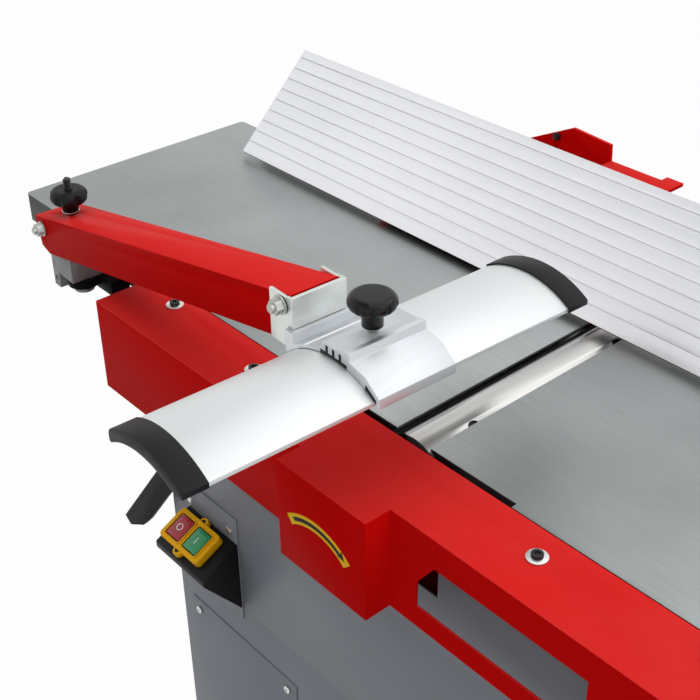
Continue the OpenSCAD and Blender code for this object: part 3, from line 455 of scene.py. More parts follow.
# %% Metal maker
def machined(name, colour, dark, rough, along, strength=0.1, cloud=0.3, spread=0.12, dusty=0.08,
             patches=5.0):
    metal = Finish(name, tint(*colour), rough, metal=1.0)
    marks = metal.use(streaks, Stretch=along, Patches=patches)
    metal.paint_over(stretch(metal.tree, marks.outputs["Streak"], 0, 1, 0.0, 0.25), tint(*dark))
    metal.paint_over(stretch(metal.tree, marks.outputs["Cloud"], 0, 1, 0.0, cloud), tint(*dark))
    smudge = metal.use(dust, Amount=dusty)
    metal.roughen(marks.outputs["Streak"], spread)
    metal.roughen(smudge.outputs["Mask"], spread)
    metal.bump(marks.outputs["Height"], strength, 0.0002)
    return metal.done()


print("one maker for all metals")

# %% Steels
# The strong dark cloud on the table tops is partly painted shade across the tables.
ground_steel = machined("ground_table_steel", (180, 184, 184), (128, 133, 132), rough=0.42,
                        along=(14.0, 700.0, 700.0), cloud=0.55, spread=0.08, dusty=0.06, patches=3.2)
# Dark steel for the sides of the table plates, and as painted shade under the fence.
dark_sides_and_shade = machined("dark_sides_and_painted_shade", (84, 84, 84), (60, 60, 60), rough=0.45, along=(20.0, 20.0, 600.0))
block_steel = machined("polished_block_steel", (206, 205, 202), (176, 175, 172), rough=0.3,
                       along=(160.0, 5.0, 160.0), strength=0.03, cloud=0.2, spread=0.08, dusty=0.02)
knife_steel = machined("knife_steel", (205, 206, 210), (160, 160, 165), rough=0.12,
                       along=(400.0, 8.0, 400.0))
shaft_steel = machined("turned_steel", (168, 168, 170), (130, 130, 134), rough=0.28,
                       along=(600.0, 12.0, 600.0))
planed_iron = machined("planed_iron", (130, 131, 132), (98, 99, 100), rough=0.38,
                       along=(12.0, 260.0, 260.0), strength=0.35)
print(len(bpy.data.materials), "materials with the steels")

# %% Aluminium, zinc and bronze
brushed_aluminium = machined("brushed_aluminium", (240, 241, 244), (222, 224, 229), rough=0.36,
                             along=(5.0, 800.0, 800.0), dusty=0.03)
satin_anodised = machined("satin_anodised", (226, 229, 229), (216, 219, 220), rough=0.5,
                          along=(900.0, 6.0, 900.0), strength=0.03, cloud=0.12, spread=0.06, dusty=0.02)
drawn_aluminium = machined("drawn_aluminium", (218, 221, 224), (196, 199, 203), rough=0.45,
                           along=(700.0, 8.0, 700.0), strength=0.05, spread=0.08, dusty=0.03)
zinc_plate = machined("zinc_plate", (222, 225, 221), (196, 201, 196), rough=0.3,
                      along=(60.0, 60.0, 60.0), strength=0.06)
bolt_zinc = machined("bolt_zinc", (182, 184, 180), (150, 152, 148), rough=0.22,
                     along=(90.0, 90.0, 90.0), strength=0.06)
bush_bronze = machined("bronze_bush", (196, 152, 84), (160, 120, 62), rough=0.3,
                       along=(200.0, 8.0, 200.0))
print(len(bpy.data.materials), "materials with the light metals")

# %% [markdown]
# Castings and plastics
# Castings that are not machined keep the sand's rough skin. Moulded plastic has a fine even
# texture, and the parts that hands touch become glossier. Both take the shared effects, the
# casting with strong pimples and the plastic with the finest orange peel.

# %% Casting and plastic makers
def rough_casting(name, colour, dark, rough=0.55, metal=0.6):
    iron = Finish(name, tint(*colour), rough, metal=metal)
    skin = iron.use(casting, Scale=380.0)
    iron.paint_over(stretch(iron.tree, skin.outputs["Tone"], 0, 1, 0.0, 0.5), tint(*dark))
    iron.roughen(skin.outputs["Tone"], 0.12)
    iron.bump(skin.outputs["Height"], 0.3, 0.0006)
    return iron.done()


def plastic(name, colour, rough, grain=0.08, lacquer=0.0, dusty=0.04, gloss=0.3):
    shell = Finish(name, tint(*colour), rough, lacquer=lacquer, specular=gloss)
    skin = shell.use(peel, Scale=1500.0)
    shell.paint_over(shell.use(dust, Amount=dusty).outputs["Mask"], tint(150, 148, 145))
    shell.roughen(skin.outputs["Tone"], 0.08)
    shell.bump(skin.outputs["Height"], grain, 0.0003)
    return shell.done()


cast_grey = rough_casting("cast_grey", (150, 151, 152), (104, 105, 106))
dark_casting = rough_casting("dark_casting", (78, 80, 84), (50, 52, 54), metal=0.3)
print(cast_grey.name, "and", dark_casting.name)

# %% Plastics and rubber
black_gloss = plastic("black_gloss", (5, 5, 6), 0.07, 0.02, dusty=0.003, gloss=0.26)
black_grip = plastic("black_grip", (16, 16, 17), 0.42, 0.2, dusty=0.015, gloss=0.2)
black_cap = plastic("black_cap", (25, 25, 28), 0.42, 0.25, dusty=0.015, gloss=0.16)
black_steel = plastic("blackened_steel", (30, 30, 32), 0.35, 0.1)
rubber = plastic("belt_rubber", (24, 24, 25), 0.7, 0.3)
yellow_plastic = plastic("yellow_plastic", (246, 182, 6), 0.35, dusty=0.01, gloss=0.15)
stop_red = plastic("stop_red", (176, 24, 34), 0.12, 0.02, lacquer=0.6, dusty=0.02)
start_green = plastic("start_green", (34, 152, 92), 0.12, 0.02, lacquer=0.6, dusty=0.02)
mark_white = plastic("mark_white", (235, 235, 232), 0.4, 0.03)
label_yellow = plastic("label_yellow", (250, 200, 10), 0.4, 0.03, dusty=0.0, gloss=0.1)
label_black = plastic("label_black", (14, 14, 14), 0.4, 0.03, dusty=0.0, gloss=0.1)
print(len(bpy.data.materials), "materials")

# %% [markdown]
# Handling a piece
# Blender's operators act on whatever is selected, and the loaded model starts out selected. Each
# step therefore begins with one piece picked alone. A modifier is applied at once, so that the
# next step works on the real mesh.

# %% Pick, edit and modify
def pick(piece):
    bpy.ops.object.select_all(action="DESELECT")
    piece.select_set(True)
    bpy.context.view_layer.objects.active = piece


def in_edit_mode(piece, *steps):
    pick(piece)
    bpy.ops.object.mode_set(mode="EDIT")
    bpy.ops.mesh.select_all(action="SELECT")
    for step in steps:
        step()
    bpy.ops.object.mode_set(mode="OBJECT")


def modify(piece, kind, **values):
    modifier = piece.modifiers.new(kind.lower(), kind)
    for label, value in values.items():
        setattr(modifier, label, value)
    pick(piece)
    bpy.ops.object.modifier_apply(modifier=modifier.name)


print("pieces can be picked, edited and modified")


# %% Choose faces or edges
def ends_of(piece, edge):
    return [piece.data.vertices[v].co for v in edge.vertices]


def choose(piece, kind, where):
    """Selects the faces or edges that a test names, stays in edit mode and tells how many."""
    pick(piece)
    bpy.ops.object.mode_set(mode="EDIT")
    bpy.ops.mesh.select_mode(type=kind)
    bpy.ops.mesh.select_all(action="DESELECT")
    bpy.ops.object.mode_set(mode="OBJECT")
    found = 0
    for item in piece.data.polygons if kind == "FACE" else piece.data.edges:
        item.select = where(item)
        found += item.select
    bpy.ops.object.mode_set(mode="EDIT")
    return found


print("faces and edges can be chosen")

# %% [markdown]
# Softened edges
# No real edge is perfectly sharp: sheet is folded round a radius, plates are filed, plastic is
# moulded with a rounding. A bevel shader only fakes the shine, so the edges are really rounded. A
# part of the model is copied, its flat triangles are joined to whole faces again, and a bevel
# goes on its sharp edges. The copy then stands for the part.

# %% Copy a part and soften its edges
def softened(node, edge, finish, shape_first=None, layers=2, sharp=28):
    """A copy of a part with rounded edges, which stands for the part and rides on its body."""
    piece = bpy.data.objects.new(node + "_part", frame["nodes"][node].data.copy())
    bpy.context.scene.collection.objects.link(piece)
    pick(piece)
    bpy.ops.mesh.customdata_custom_splitnormals_clear()
    in_edit_mode(
        piece,
        lambda: bpy.ops.mesh.remove_doubles(threshold=0.000004),
        lambda: bpy.ops.mesh.dissolve_limited(angle_limit=radians(0.6)),
    )
    if shape_first:
        shape_first(piece)
    modify(piece, "BEVEL", width=edge, segments=layers, limit_method="ANGLE",
           angle_limit=radians(sharp), use_clamp_overlap=True, harden_normals=False)
    pick(piece)
    bpy.ops.object.shade_smooth_by_angle(angle=radians(35))
    piece.data.materials.clear()
    piece.data.materials.append(finish)
    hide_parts(node)
    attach(piece, body_of_node[node])
    return piece


parts = {}


def soften_all(rows):
    """Each row has a part's name, the width of its rounded edges and its finish."""
    for node, edge, finish, *shape_first in rows:
        parts[node] = softened(node, edge, finish, *shape_first)
        print(node, len(parts[node].data.polygons), "faces")


print(len(frame["nodes"]), "parts to choose from")

# %% [markdown]
# Sheet metal and the switch
# Cabinet, covers and frames are folded from sheet, so their edges are round by about a
# millimetre. The switch and its buttons are moulded. All of them only need the bevel.

# %% Sheet metal and the switch
soften_all((
    ("base_cabinet", 0.0012, grey_coat), ("front_panel", 0.0006, grey_coat),
    ("front_cover", 0.0011, red_coat), ("rear_cover", 0.0011, red_coat),
    ("front_side_frame", 0.0006, red_coat), ("rear_side_frame", 0.0006, red_coat),
    ("switch_plate", 0.0004, grey_coat), ("switch_box", 0.0012, black_grip),
    ("switch_frame", 0.0012, yellow_plastic),
    ("stop_button", 0.0012, stop_red), ("start_button", 0.0012, start_green),
))

# %% [markdown]
# Tables and fence
# The tables and the fence guide wood, so their edges are only broken with a file. A large
# rounding there would look wrong, and half a millimetre is enough to catch the light.

# %% Tables and fence
soften_all((
    ("outfeed_table", 0.0006, ground_steel), ("infeed_table", 0.0006, ground_steel),
    ("fence_profile", 0.0003, brushed_aluminium), ("fence_slide", 0.0006, red_coat),
    ("fence_guide", 0.0008, black_coat),
))

# %% [markdown]
# Guard
# The guard is a drawn aluminium profile with moulded caps. Its caps end level with the profile
# on the infeed side, and in a round tip on the other. The half with the level end is cut by a
# plane after a first cut through the middle, because one plane over the whole cap would cut the
# tip too. The tip's edges are then bevelled with many segments, which makes them round.

# %% Level end and round tip of the caps
cap_cut_height = 0.0083
tip_rounding = 0.0045
coplanar = radians(0.6)


def round_the_tips(caps):
    low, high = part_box("guard_end_caps")
    halfway = (low.x + high.x) / 2
    in_edit_mode(caps, lambda: bpy.ops.mesh.bisect(plane_co=(halfway, 0, 0), plane_no=(1, 0, 0)))
    choose(caps, "FACE", lambda face: face.center.x > halfway)
    bpy.ops.mesh.bisect(plane_co=(0, 0, low.z + cap_cut_height), plane_no=(0, 0, -1),
                        clear_outer=True, use_fill=True)
    bpy.ops.mesh.select_all(action="SELECT")
    bpy.ops.mesh.dissolve_limited(angle_limit=coplanar)
    bpy.ops.object.mode_set(mode="OBJECT")

    def is_at_the_tip(edge):
        a, b = ends_of(caps, edge)
        across_the_cap = abs(a.y - b.y) > 0.018 and abs(a.z - b.z) < 0.0001
        return across_the_cap and max(a.x, b.x) < low.x + 0.0025

    found = choose(caps, "EDGE", is_at_the_tip)
    bpy.ops.mesh.bevel(offset=tip_rounding, segments=5, affect="EDGES")
    bpy.ops.mesh.select_mode(type="VERT")
    bpy.ops.object.mode_set(mode="OBJECT")
    print("tip edges", found)


print("caps end", cap_cut_height, "m higher on the infeed side")

# %% Guard
soften_all((
    ("guard_mount", 0.001, black_coat), ("guard_pivot_block", 0.0012, cast_grey),
    ("guard_arm", 0.0009, red_coat), ("guard_bracket", 0.0007, zinc_plate),
    ("guard_saddle", 0.0004, drawn_aluminium), ("saddle_pads", 0.0003, black_grip),
    ("clamp_knob", 0.0009, black_gloss), ("height_knob", 0.0012, black_grip),
    ("height_stud", 0.0006, black_steel), ("arm_bolts", 0.0005, bolt_zinc),
    ("fence_bolts", 0.0005, black_steel), ("guard_profile", 0.0004, satin_anodised),
    ("guard_end_caps", 0.0013, black_cap, round_the_tips),
))

# %% [markdown]
# Levers, screws and the parts in the mouth
# The screws of the cover have low heads. Their sockets must go down with them, so the points
# above the washer are moved together instead of cutting the heads off.

# %% Low heads of the cover screws
washer_thickness = 0.0016
low_head_share = 0.55
table_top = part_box("outfeed_table")[1].z


def lower_the_heads(screws):
    seat = table_top + washer_thickness
    for point in screws.data.vertices:
        if point.co.z > seat:
            point.co.z = seat + (point.co.z - seat) * low_head_share


print("table top at", round(table_top, 4))

# %% Levers, screws and the parts in the mouth
soften_all((
    ("outfeed_lock_lever", 0.0008, black_coat), ("infeed_lock_lever", 0.0008, black_coat),
    ("depth_lever", 0.0006, black_steel), ("fence_clamp_lever", 0.0006, black_steel),
    ("dust_hood", 0.0006, black_coat), ("thickness_table", 0.001, planed_iron),
    ("handwheel", 0.001, black_coat), ("handwheel_grip", 0.001, black_grip),
    ("cutter_block", 0.0002, block_steel), ("cover_screws", 0.0004, black_steel, lower_the_heads),
    ("infeed_carrier", 0.0008, black_coat),
))

# %% [markdown]
# Two finishes on one part
# A washer and its screw, a knob and its stud, and the ground top of a table and its dark sides
# are one part each in the model. Splitting them would make more pieces to keep together, so the
# faces are picked by their place instead and get a second finish.

# %% Second finishes
def paint_faces(piece, finish, where):
    piece.data.materials.append(finish)
    slot = len(piece.data.materials) - 1
    found = [face for face in piece.data.polygons if where(face.center, face.normal)]
    for face in found:
        face.material_index = slot
    print(piece.name, len(found), "faces in", finish.name)


def just_over_the_table(height):
    return table_top - 0.0001 < height < table_top + washer_thickness + 0.0001


knob_foot_height = table_top + 0.139
cabinet_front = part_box("base_cabinet")[0].y
cover_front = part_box("front_cover")[0].y
paint_faces(parts["cover_screws"], zinc_plate, lambda at, normal: just_over_the_table(at.z))
paint_faces(parts["clamp_knob"], zinc_plate, lambda at, normal: at.z < knob_foot_height)
# The underside of the fence is dark as painted shade, for the shadow in the gap under the fence.
paint_faces(parts["fence_profile"], dark_sides_and_shade, lambda at, normal: normal.z < -0.3)
# Painted highlight: the top front edge of the front cover gets the paler red.
paint_faces(parts["front_cover"], red_painted_highlight, lambda at, normal: normal.y < -0.3 and normal.z > 0.3
            and at.y > cover_front + 0.01 and abs(normal.x) < 0.2)
paint_faces(parts["switch_plate"], zinc_plate, lambda at, normal: at.y < cabinet_front - 0.0017)

# %% [markdown]
# Steel round the cutter block
# The table lips round the cutter block stay bright, and the sides of the plates are dark. In the block, the
# gullets before the knives and the half-moon pockets at its ends are painted black as painted shade, for
# the deep shade inside them. All of these faces are told by how far they are from the block's axis.

# %% Dark sides, gullets and pockets
cutter_height = table_top - 0.037
lip_radius = 0.042
gullet_radius = 0.0352
block_half_length = 0.1535


def from_cutter_axis(at):
    return sqrt(at.x ** 2 + (at.z - cutter_height) ** 2)


for name in ("outfeed_table", "infeed_table"):
    paint_faces(parts[name], dark_sides_and_shade, lambda at, normal: normal.z < 0.6
                and from_cutter_axis(at) > lip_radius)
# Gullets and pockets are black as painted shade of these recesses.
paint_faces(parts["cutter_block"], black_steel, lambda at, normal: abs(normal.y) < 0.9
            and abs(at.y) < block_half_length and from_cutter_axis(at) < gullet_radius)

# %% [markdown]
# Buttons
# The green start button and the red stop button are moulded with a raised, slightly domed top. The flat
# margin round the dome is painted black as painted shade, for the dark gap round each button. A sphere cut
# flat would give a dome too, but not one that fills a rectangle. So the top face is inset again and again,
# and each inset is lifted a little less.

# %% Raised tops
slope = radians(26.57)
out_of_slope = Vector((0, -sin(slope), cos(slope)))
up_slope = Vector((0, cos(slope), sin(slope)))
smallest_top_area = 0.0002
dome_steps = ((0.0008, 0.0007), (0.0012, 0.0004), (0.0026, 0.0003), (0.0032, 0.00012))
dome_half_width = 0.0108
dome_half_height = 0.0128
button_top = {}
for name in ("stop_button", "start_button"):
    button = parts[name]
    top = max((face for face in button.data.polygons if face.normal.dot(out_of_slope) > 0.95),
              key=lambda face: face.area)
    middle = top.center.copy()
    button_top[name] = middle
    choose(button, "FACE", lambda face: face.normal.dot(out_of_slope) > 0.95
           and face.area > smallest_top_area)
    bpy.ops.mesh.inset(thickness=0.0011, depth=0.0)
    for wide, lift in dome_steps:
        bpy.ops.mesh.inset(thickness=wide, depth=0.0)
        bpy.ops.transform.translate(value=out_of_slope * lift)
    bpy.ops.object.mode_set(mode="OBJECT")
    pick(button)
    bpy.ops.object.shade_smooth_by_angle(angle=radians(50))
    # The flat margin round the dome is black as painted shade of the gap round the button.
    paint_faces(button, label_black, lambda at, normal: normal.dot(out_of_slope) > 0.9
                and (abs(at.x - middle.x) > dome_half_width
                     or abs((at - middle).dot(up_slope)) > dome_half_height))
    print(name, "top at", [round(v, 4) for v in middle])

# %% [markdown]
# New pieces
# A new piece starts as a primitive, added alone in the selection with its place in its mesh. When
# it is finished it gets its smoothing and its finish, and rides on the body that carries it.

# %% Start and settle a piece
def apply_place():
    bpy.ops.object.transform_apply(location=True, rotation=True, scale=True)


def new_piece(name, add_primitive, **values):
    bpy.ops.object.select_all(action="DESELECT")
    add_primitive(**values)
    piece = bpy.context.object
    piece.name = name
    apply_place()
    return piece


def settle(piece, finish, body, smooth=35):
    """Puts the place into the mesh, gives the finish and lets the piece ride on a body."""
    pick(piece)
    apply_place()
    bpy.ops.object.shade_smooth_by_angle(angle=radians(smooth))
    piece.data.materials.clear()
    piece.data.materials.append(finish)
    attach(piece, body)
    return piece


print("new pieces can be started and settled")

# %% [markdown]
# Ring and bar
# The ring and the bar are the usual marks for off and on. They could be a picture on the button,
# but raised marks stay sharp in close views. The ring is a torus pressed flat, and the bar is a
# block with rounded edges.

# %% Ring and bar
ring = new_piece("off_ring", bpy.ops.mesh.primitive_torus_add, major_radius=0.0037,
                 minor_radius=0.0006, major_segments=48, minor_segments=8)
ring.scale = (1, 1, 0.45)
ring.rotation_euler = (slope, 0, 0)
ring.location = button_top["stop_button"] + out_of_slope * 0.00148
settle(ring, mark_white, "stop")

on_bar = new_piece("on_bar", bpy.ops.mesh.primitive_cube_add, size=1)
on_bar.scale = (0.0011, 0.0085, 0.0004)
on_bar.rotation_euler = (slope, 0, 0)
on_bar.location = button_top["start_button"] + out_of_slope * 0.00158
pick(on_bar)
apply_place()
modify(on_bar, "BEVEL", width=0.00015, segments=2, limit_method="NONE")
settle(on_bar, mark_white, "start")
print("marks on both buttons")

# %% [markdown]
# Drawn outlines
# Flat pieces of free shape start as an outline. A curve object could hold it, but then it has to
# be turned into a mesh. Here one vertex is extruded from point to point, and the closed outline
# is filled and drawn out to a plate.

# %% Draw an outline and make a plate of it
def drawn(name, points):
    """An open line from point to point, left in edit mode."""
    piece = new_piece(name, bpy.ops.mesh.primitive_plane_add, size=0.002, location=points[0])
    bpy.ops.object.mode_set(mode="EDIT")
    bpy.ops.mesh.select_mode(type="VERT")
    bpy.ops.mesh.select_all(action="SELECT")
    bpy.ops.mesh.merge(type="CENTER")
    for start, end in zip(points, points[1:]):
        bpy.ops.mesh.extrude_region_move(TRANSFORM_OT_translate={"value": Vector(end) - Vector(start)})
    return piece


def plate(name, points, thickness):
    """A closed outline, filled and drawn out by a vector."""
    piece = drawn(name, points)
    bpy.ops.mesh.select_all(action="SELECT")
    bpy.ops.mesh.edge_face_add()
    bpy.ops.mesh.extrude_region_move(TRANSFORM_OT_translate={"value": Vector(thickness)})
    bpy.ops.mesh.select_all(action="SELECT")
    bpy.ops.mesh.normals_make_consistent(inside=False)
    bpy.ops.object.mode_set(mode="OBJECT")
    return piece


print("outlines can be drawn")

# %% [markdown]
# Turning arrow
# A curved arrow on the drive cover shows which way the cutter block turns. It is a thin plate
# between two arcs about one centre, yellow at the rim and black inside.

# %% Arrow on the drive cover
def on_circle(radius, angle, y):
    turn = radians(angle)
    return (arrow_middle[0] + radius * cos(turn), y, arrow_middle[1] + radius * sin(turn))


def arc(radius, start, end, steps, y):
    return [on_circle(radius, start + (end - start) * i / steps, y) for i in range(steps + 1)]


arrow_middle = (-0.0065, table_top - 0.101)
rim_thickness = 0.0003
rim_line = arc(0.0625, 126.4, 45.8, 28, cover_front) + arc(0.052, 46.2, 126.4, 28, cover_front)
settle(plate("arrow_plate", rim_line, (0, -rim_thickness, 0)), label_yellow, "machine")
face_y = cover_front - rim_thickness
outer_side = arc(0.0592, 120.0, 57.5, 24, face_y)
inner_side = arc(0.0551, 57.5, 118.8, 24, face_y)
arrow_head = [on_circle(radius, angle, face_y)
              for radius, angle in ((0.0632, 58.0), (0.0578, 50.2), (0.0533, 59.2))]
arrow = plate("turning_arrow", outer_side + arrow_head + inner_side, (0, -0.0001, 0))
settle(arrow, label_black, "machine")
print("arrow", len(arrow.data.vertices), "points")

# %% [markdown]
# Screw threads
# A thread is a small zigzag that climbs by one pitch on each turn. A bump could pretend it, but
# its outline would stay straight. The Screw modifier turns a real zigzag about the axis of the
# stud, and the open ends are filled.

# %% Thread maker
turn_segments = 20
thread_depth_share = 0.55


def threaded(name, foot, radius, pitch, length, finish, body):
    root = radius - pitch * thread_depth_share
    zigzag = drawn(name, [(root, 0, 0), (radius, 0, pitch / 2), (root, 0, pitch)])
    bpy.ops.object.mode_set(mode="OBJECT")
    modify(zigzag, "SCREW", axis="Z", steps=turn_segments, render_steps=turn_segments,
           screw_offset=pitch, angle=2 * pi, iterations=max(1, int(length / pitch) - 1),
           use_merge_vertices=True, merge_threshold=0.00001)
    pick(zigzag)
    bpy.ops.object.mode_set(mode="EDIT")
    bpy.ops.mesh.select_all(action="SELECT")
    bpy.ops.mesh.remove_doubles(threshold=0.00001)
    bpy.ops.mesh.select_all(action="DESELECT")
    bpy.ops.mesh.select_non_manifold(extend=False)
    bpy.ops.mesh.fill_holes(sides=0)
    bpy.ops.mesh.select_all(action="SELECT")
    bpy.ops.mesh.normals_make_consistent(inside=False)
    bpy.ops.object.mode_set(mode="OBJECT")
    # The thread starts on the side towards the outfeed end
    zigzag.rotation_euler = (0, 0, pi)
    zigzag.location = foot
    return settle(zigzag, finish, body, 30)


print("threads of", turn_segments, "faces a turn")

# %% [markdown]
# Studs of the guard
# The height stud is threaded from end to end, so its thread stands for the whole part. Only the
# foot of the clamp knob's stud is seen, and a short thread goes over it.

# %% Studs of the guard
thread_pitch = 0.00125


def foot_of(node):
    """The middle of a part's lower end."""
    low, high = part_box(node)
    return Vector(((low.x + high.x) / 2, (low.y + high.y) / 2, low.z))


stud_low, stud_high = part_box("height_stud")
stud_thread = threaded("height_thread", foot_of("height_stud"), radius=(stud_high.x - stud_low.x) / 2,
                       pitch=thread_pitch, length=stud_high.z - stud_low.z,
                       finish=black_steel, body="stud")
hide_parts("height_stud")
bpy.data.objects.remove(parts.pop("height_stud"))
threaded("clamp_thread", foot_of("clamp_knob"), radius=0.00455, pitch=thread_pitch, length=0.0095,
         finish=zinc_plate, body="clamp")
print("threads on both studs")

# %% [markdown]
# Washer under the height knob
# A bright washer is pressed into the foot of the height knob. It is a short cylinder with broken
# edges, and just a little wider than the knob's neck, so that it clears the arm when the arm tilts.

# %% Washer under the height knob
knob_washer = new_piece("knob_washer", bpy.ops.mesh.primitive_cylinder_add, vertices=48,
                        radius=0.0093, depth=0.0012,
                        location=foot_of("height_knob") + Vector((0, 0, 0.00055)))
modify(knob_washer, "BEVEL", width=0.0002, segments=2, limit_method="ANGLE", angle_limit=radians(60))
settle(knob_washer, zinc_plate, body_of_node["height_knob"])
print("washer", [round(v, 4) for v in knob_washer.dimensions])

# %% [markdown]
# Screw head
# Sheet metal is held by pan heads with a cross recess. One head is modelled one metre in radius:
# a cylinder with a rounded rim, and two bars taken out of it. Every screw is a smaller copy, so
# the head is shaped only once.

# %% Screw head
def box_piece(name, low, high, edge=0.0, layers=3):
    """A bar between two corners, with rounded edges."""
    piece = new_piece(name, bpy.ops.mesh.primitive_cube_add, size=1)
    piece.scale = [b - a for a, b in zip(low, high)]
    piece.location = [(a + b) / 2 for a, b in zip(low, high)]
    apply_place()
    if edge:
        modify(piece, "BEVEL", width=edge, segments=layers, limit_method="NONE")
    return piece


screw_head = new_piece("screw_head", bpy.ops.mesh.primitive_cylinder_add, vertices=28,
                       radius=1.0, depth=0.7, location=(0, 0, 0.35))
modify(screw_head, "BEVEL", width=0.3, segments=3, limit_method="ANGLE", angle_limit=radians(60))
for half_x, half_y in ((0.55, 0.11), (0.11, 0.55)):
    cutter = box_piece("recess", (-half_x, -half_y, 0.4), (half_x, half_y, 0.9))
    modify(screw_head, "BOOLEAN", object=cutter, operation="DIFFERENCE", solver="EXACT")
    bpy.data.objects.remove(cutter)
print("screw head", len(screw_head.data.polygons), "faces")

# %% [markdown]
# Screws of the switch
# The switch frame is held by a screw in each of its ears, above and below the buttons. A copy is
# turned so that it stands on the slope, and is turned a little about its own axis too, because no
# two screws stop at the same angle.

# %% Place a copy
def placed_copy(master, name, place, out, finish, body, size=1.0, spin=0.0):
    """A copy of a master with its own mesh, its Z turned to look along out."""
    piece = bpy.data.objects.new(name, master.data.copy())
    bpy.context.scene.collection.objects.link(piece)
    piece.matrix_world = (Matrix.Translation(Vector(place))
                          @ Vector(out).to_track_quat("Z", "Y").to_matrix().to_4x4()
                          @ Matrix.Rotation(radians(spin), 4, "Z") @ Matrix.Diagonal((size, size, size, 1)))
    return settle(piece, finish, body)


stop_top, start_top = button_top["stop_button"], button_top["start_button"]
switch_middle = Vector(((stop_top.x + start_top.x) / 2, stop_top.y, stop_top.z))
ear_top = switch_middle - out_of_slope * 0.0042
ear_distance = 0.0205
for i, side in enumerate((-1, 1)):
    placed_copy(screw_head, f"frame_screw_{i}", ear_top + up_slope * side * ear_distance,
                out_of_slope, black_steel, "machine", size=0.0024, spin=25)
print("2 screws on the switch frame")

# %% [markdown]
# Rims of the buttons
# A raised rim guards each button. Cutting a small block out of a large one would leave sharp
# corners inside. Instead a block gets rounded corners, the middle of its top and bottom is set
# in, and the two inner faces are bridged to an opening of the same shape.

# %% Rim maker
def rim_piece(name, wide, deep, high, wall, corner):
    rim = box_piece(name, (-wide / 2, -deep / 2, 0), (wide / 2, deep / 2, high))

    def is_upright(edge):
        a, b = ends_of(rim, edge)
        return abs(a.z - b.z) > high / 2

    choose(rim, "EDGE", is_upright)
    bpy.ops.mesh.bevel(offset=corner, segments=6, affect="EDGES")
    bpy.ops.object.mode_set(mode="OBJECT")
    choose(rim, "FACE", lambda face: abs(face.normal.z) > 0.9)
    bpy.ops.mesh.inset(thickness=wall, depth=0.0, use_individual=True)
    bpy.ops.mesh.bridge_edge_loops()
    bpy.ops.object.mode_set(mode="OBJECT")
    modify(rim, "BEVEL", width=wall * 0.3, segments=2, limit_method="ANGLE", angle_limit=radians(50))
    return rim


print("rims can be made")

# %% Rims of the buttons
rim_sunk = 0.0013
rim_master = rim_piece("rim", wide=0.0272, deep=0.0308, high=0.0022, wall=0.0013, corner=0.0035)
for name in ("stop_button", "start_button"):
    foot = Vector((button_top[name].x, switch_middle.y, switch_middle.z)) - out_of_slope * rim_sunk
    rim = placed_copy(rim_master, name.replace("button", "rim"), foot, out_of_slope,
                      yellow_plastic, "machine")
    print(rim.name, len(rim.data.polygons), "faces")
bpy.data.objects.remove(rim_master)

# %% [markdown]
# Louvres
# Louvres are pressed out of a door so that the motor gets air: a hood with an opening under it. The opening
# is a thin black slot as painted shade, for the shade inside the cabinet. Holes cut through the sheet would
# show the same at many times the work. One hood and one slot are drawn, and an Array repeats each of them
# upwards.

# %% Louvres
louvre_count = 8
louvre_pitch = 0.016


def repeated_upwards(piece):
    modify(piece, "ARRAY", count=louvre_count, use_relative_offset=False, use_constant_offset=True,
           constant_offset_displace=(0, louvre_pitch, 0))
    return piece


louvre_bank = repeated_upwards(box_piece("louvre_bank", (-0.065, -0.0045, 0), (0.065, 0.0045, 0.0035),
                                         0.0016))
# A thin black plate under each hood is painted shade for the opening there.
louvre_shade_slots = repeated_upwards(box_piece("louvre_shade_slots", (-0.06, -0.0062, 0), (0.06, -0.0036, 0.0003)))
print(louvre_count, "louvres in a bank")

# %% [markdown]
# Doors of the cabinet
# The cabinet is a welded box with screwed-on doors. Each door is a plate with rounded edges, a
# screw in each corner, and louvres where air is needed. The plate is drawn lying down and turned
# to the side that it belongs to, so one recipe makes all five.

# %% Cabinet doors
door_thickness = 0.0015
door_height = 0.41
door_middle_height = 0.265
screw_inset = 0.014
front_door_x = 0.222
cabinet_low, cabinet_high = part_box("base_cabinet")


def door(name, x, y, out, wide, airy):
    half_wide, half_high = wide / 2, door_height / 2
    skin = box_piece(name + "_plate", (-half_wide, -half_high, 0),
                     (half_wide, half_high, door_thickness), 0.0007)
    placed_copy(skin, name, (x, y, door_middle_height), out, grey_coat, "machine")
    bpy.data.objects.remove(skin)
    face = Vector((x, y, door_middle_height)) + Vector(out) * door_thickness
    across = Vector((0, 0, 1)).cross(Vector(out))
    for i, (a, b) in enumerate(((-1, -1), (-1, 1), (1, -1), (1, 1))):
        corner = across * a * (half_wide - screw_inset) + Vector((0, 0, b * (half_high - screw_inset)))
        placed_copy(screw_head, f"{name}_screw_{i}", face + corner, out, zinc_plate, "machine",
                    size=0.0046, spin=20 + 35 * i)
    if airy:
        foot = face + Vector((0, 0, 0.03))
        placed_copy(louvre_bank, name + "_louvres", foot, out, grey_coat, "machine")
        # The black slots under the hoods are painted shade.
        placed_copy(louvre_shade_slots, name + "_slots", foot, out, black_grip, "machine")
    print(name, "done")


door("left_door", cabinet_low.x, 0, out=(-1, 0, 0), wide=0.3, airy=True)
door("right_door", cabinet_high.x, 0, out=(1, 0, 0), wide=0.3, airy=True)
door("rear_door", 0, cabinet_high.y, out=(0, 1, 0), wide=0.56, airy=True)
door("front_door_left", -front_door_x, cabinet_low.y, out=(0, -1, 0), wide=0.19, airy=False)
door("front_door_right", front_door_x, cabinet_low.y, out=(0, -1, 0), wide=0.19, airy=False)
bpy.data.objects.remove(louvre_bank)
bpy.data.objects.remove(louvre_shade_slots)

# %% [markdown]
# Screws of the rear cover
# The rear cover is held by two rows of three of the same screws. They stand on its outer face, so
# their places follow its box.

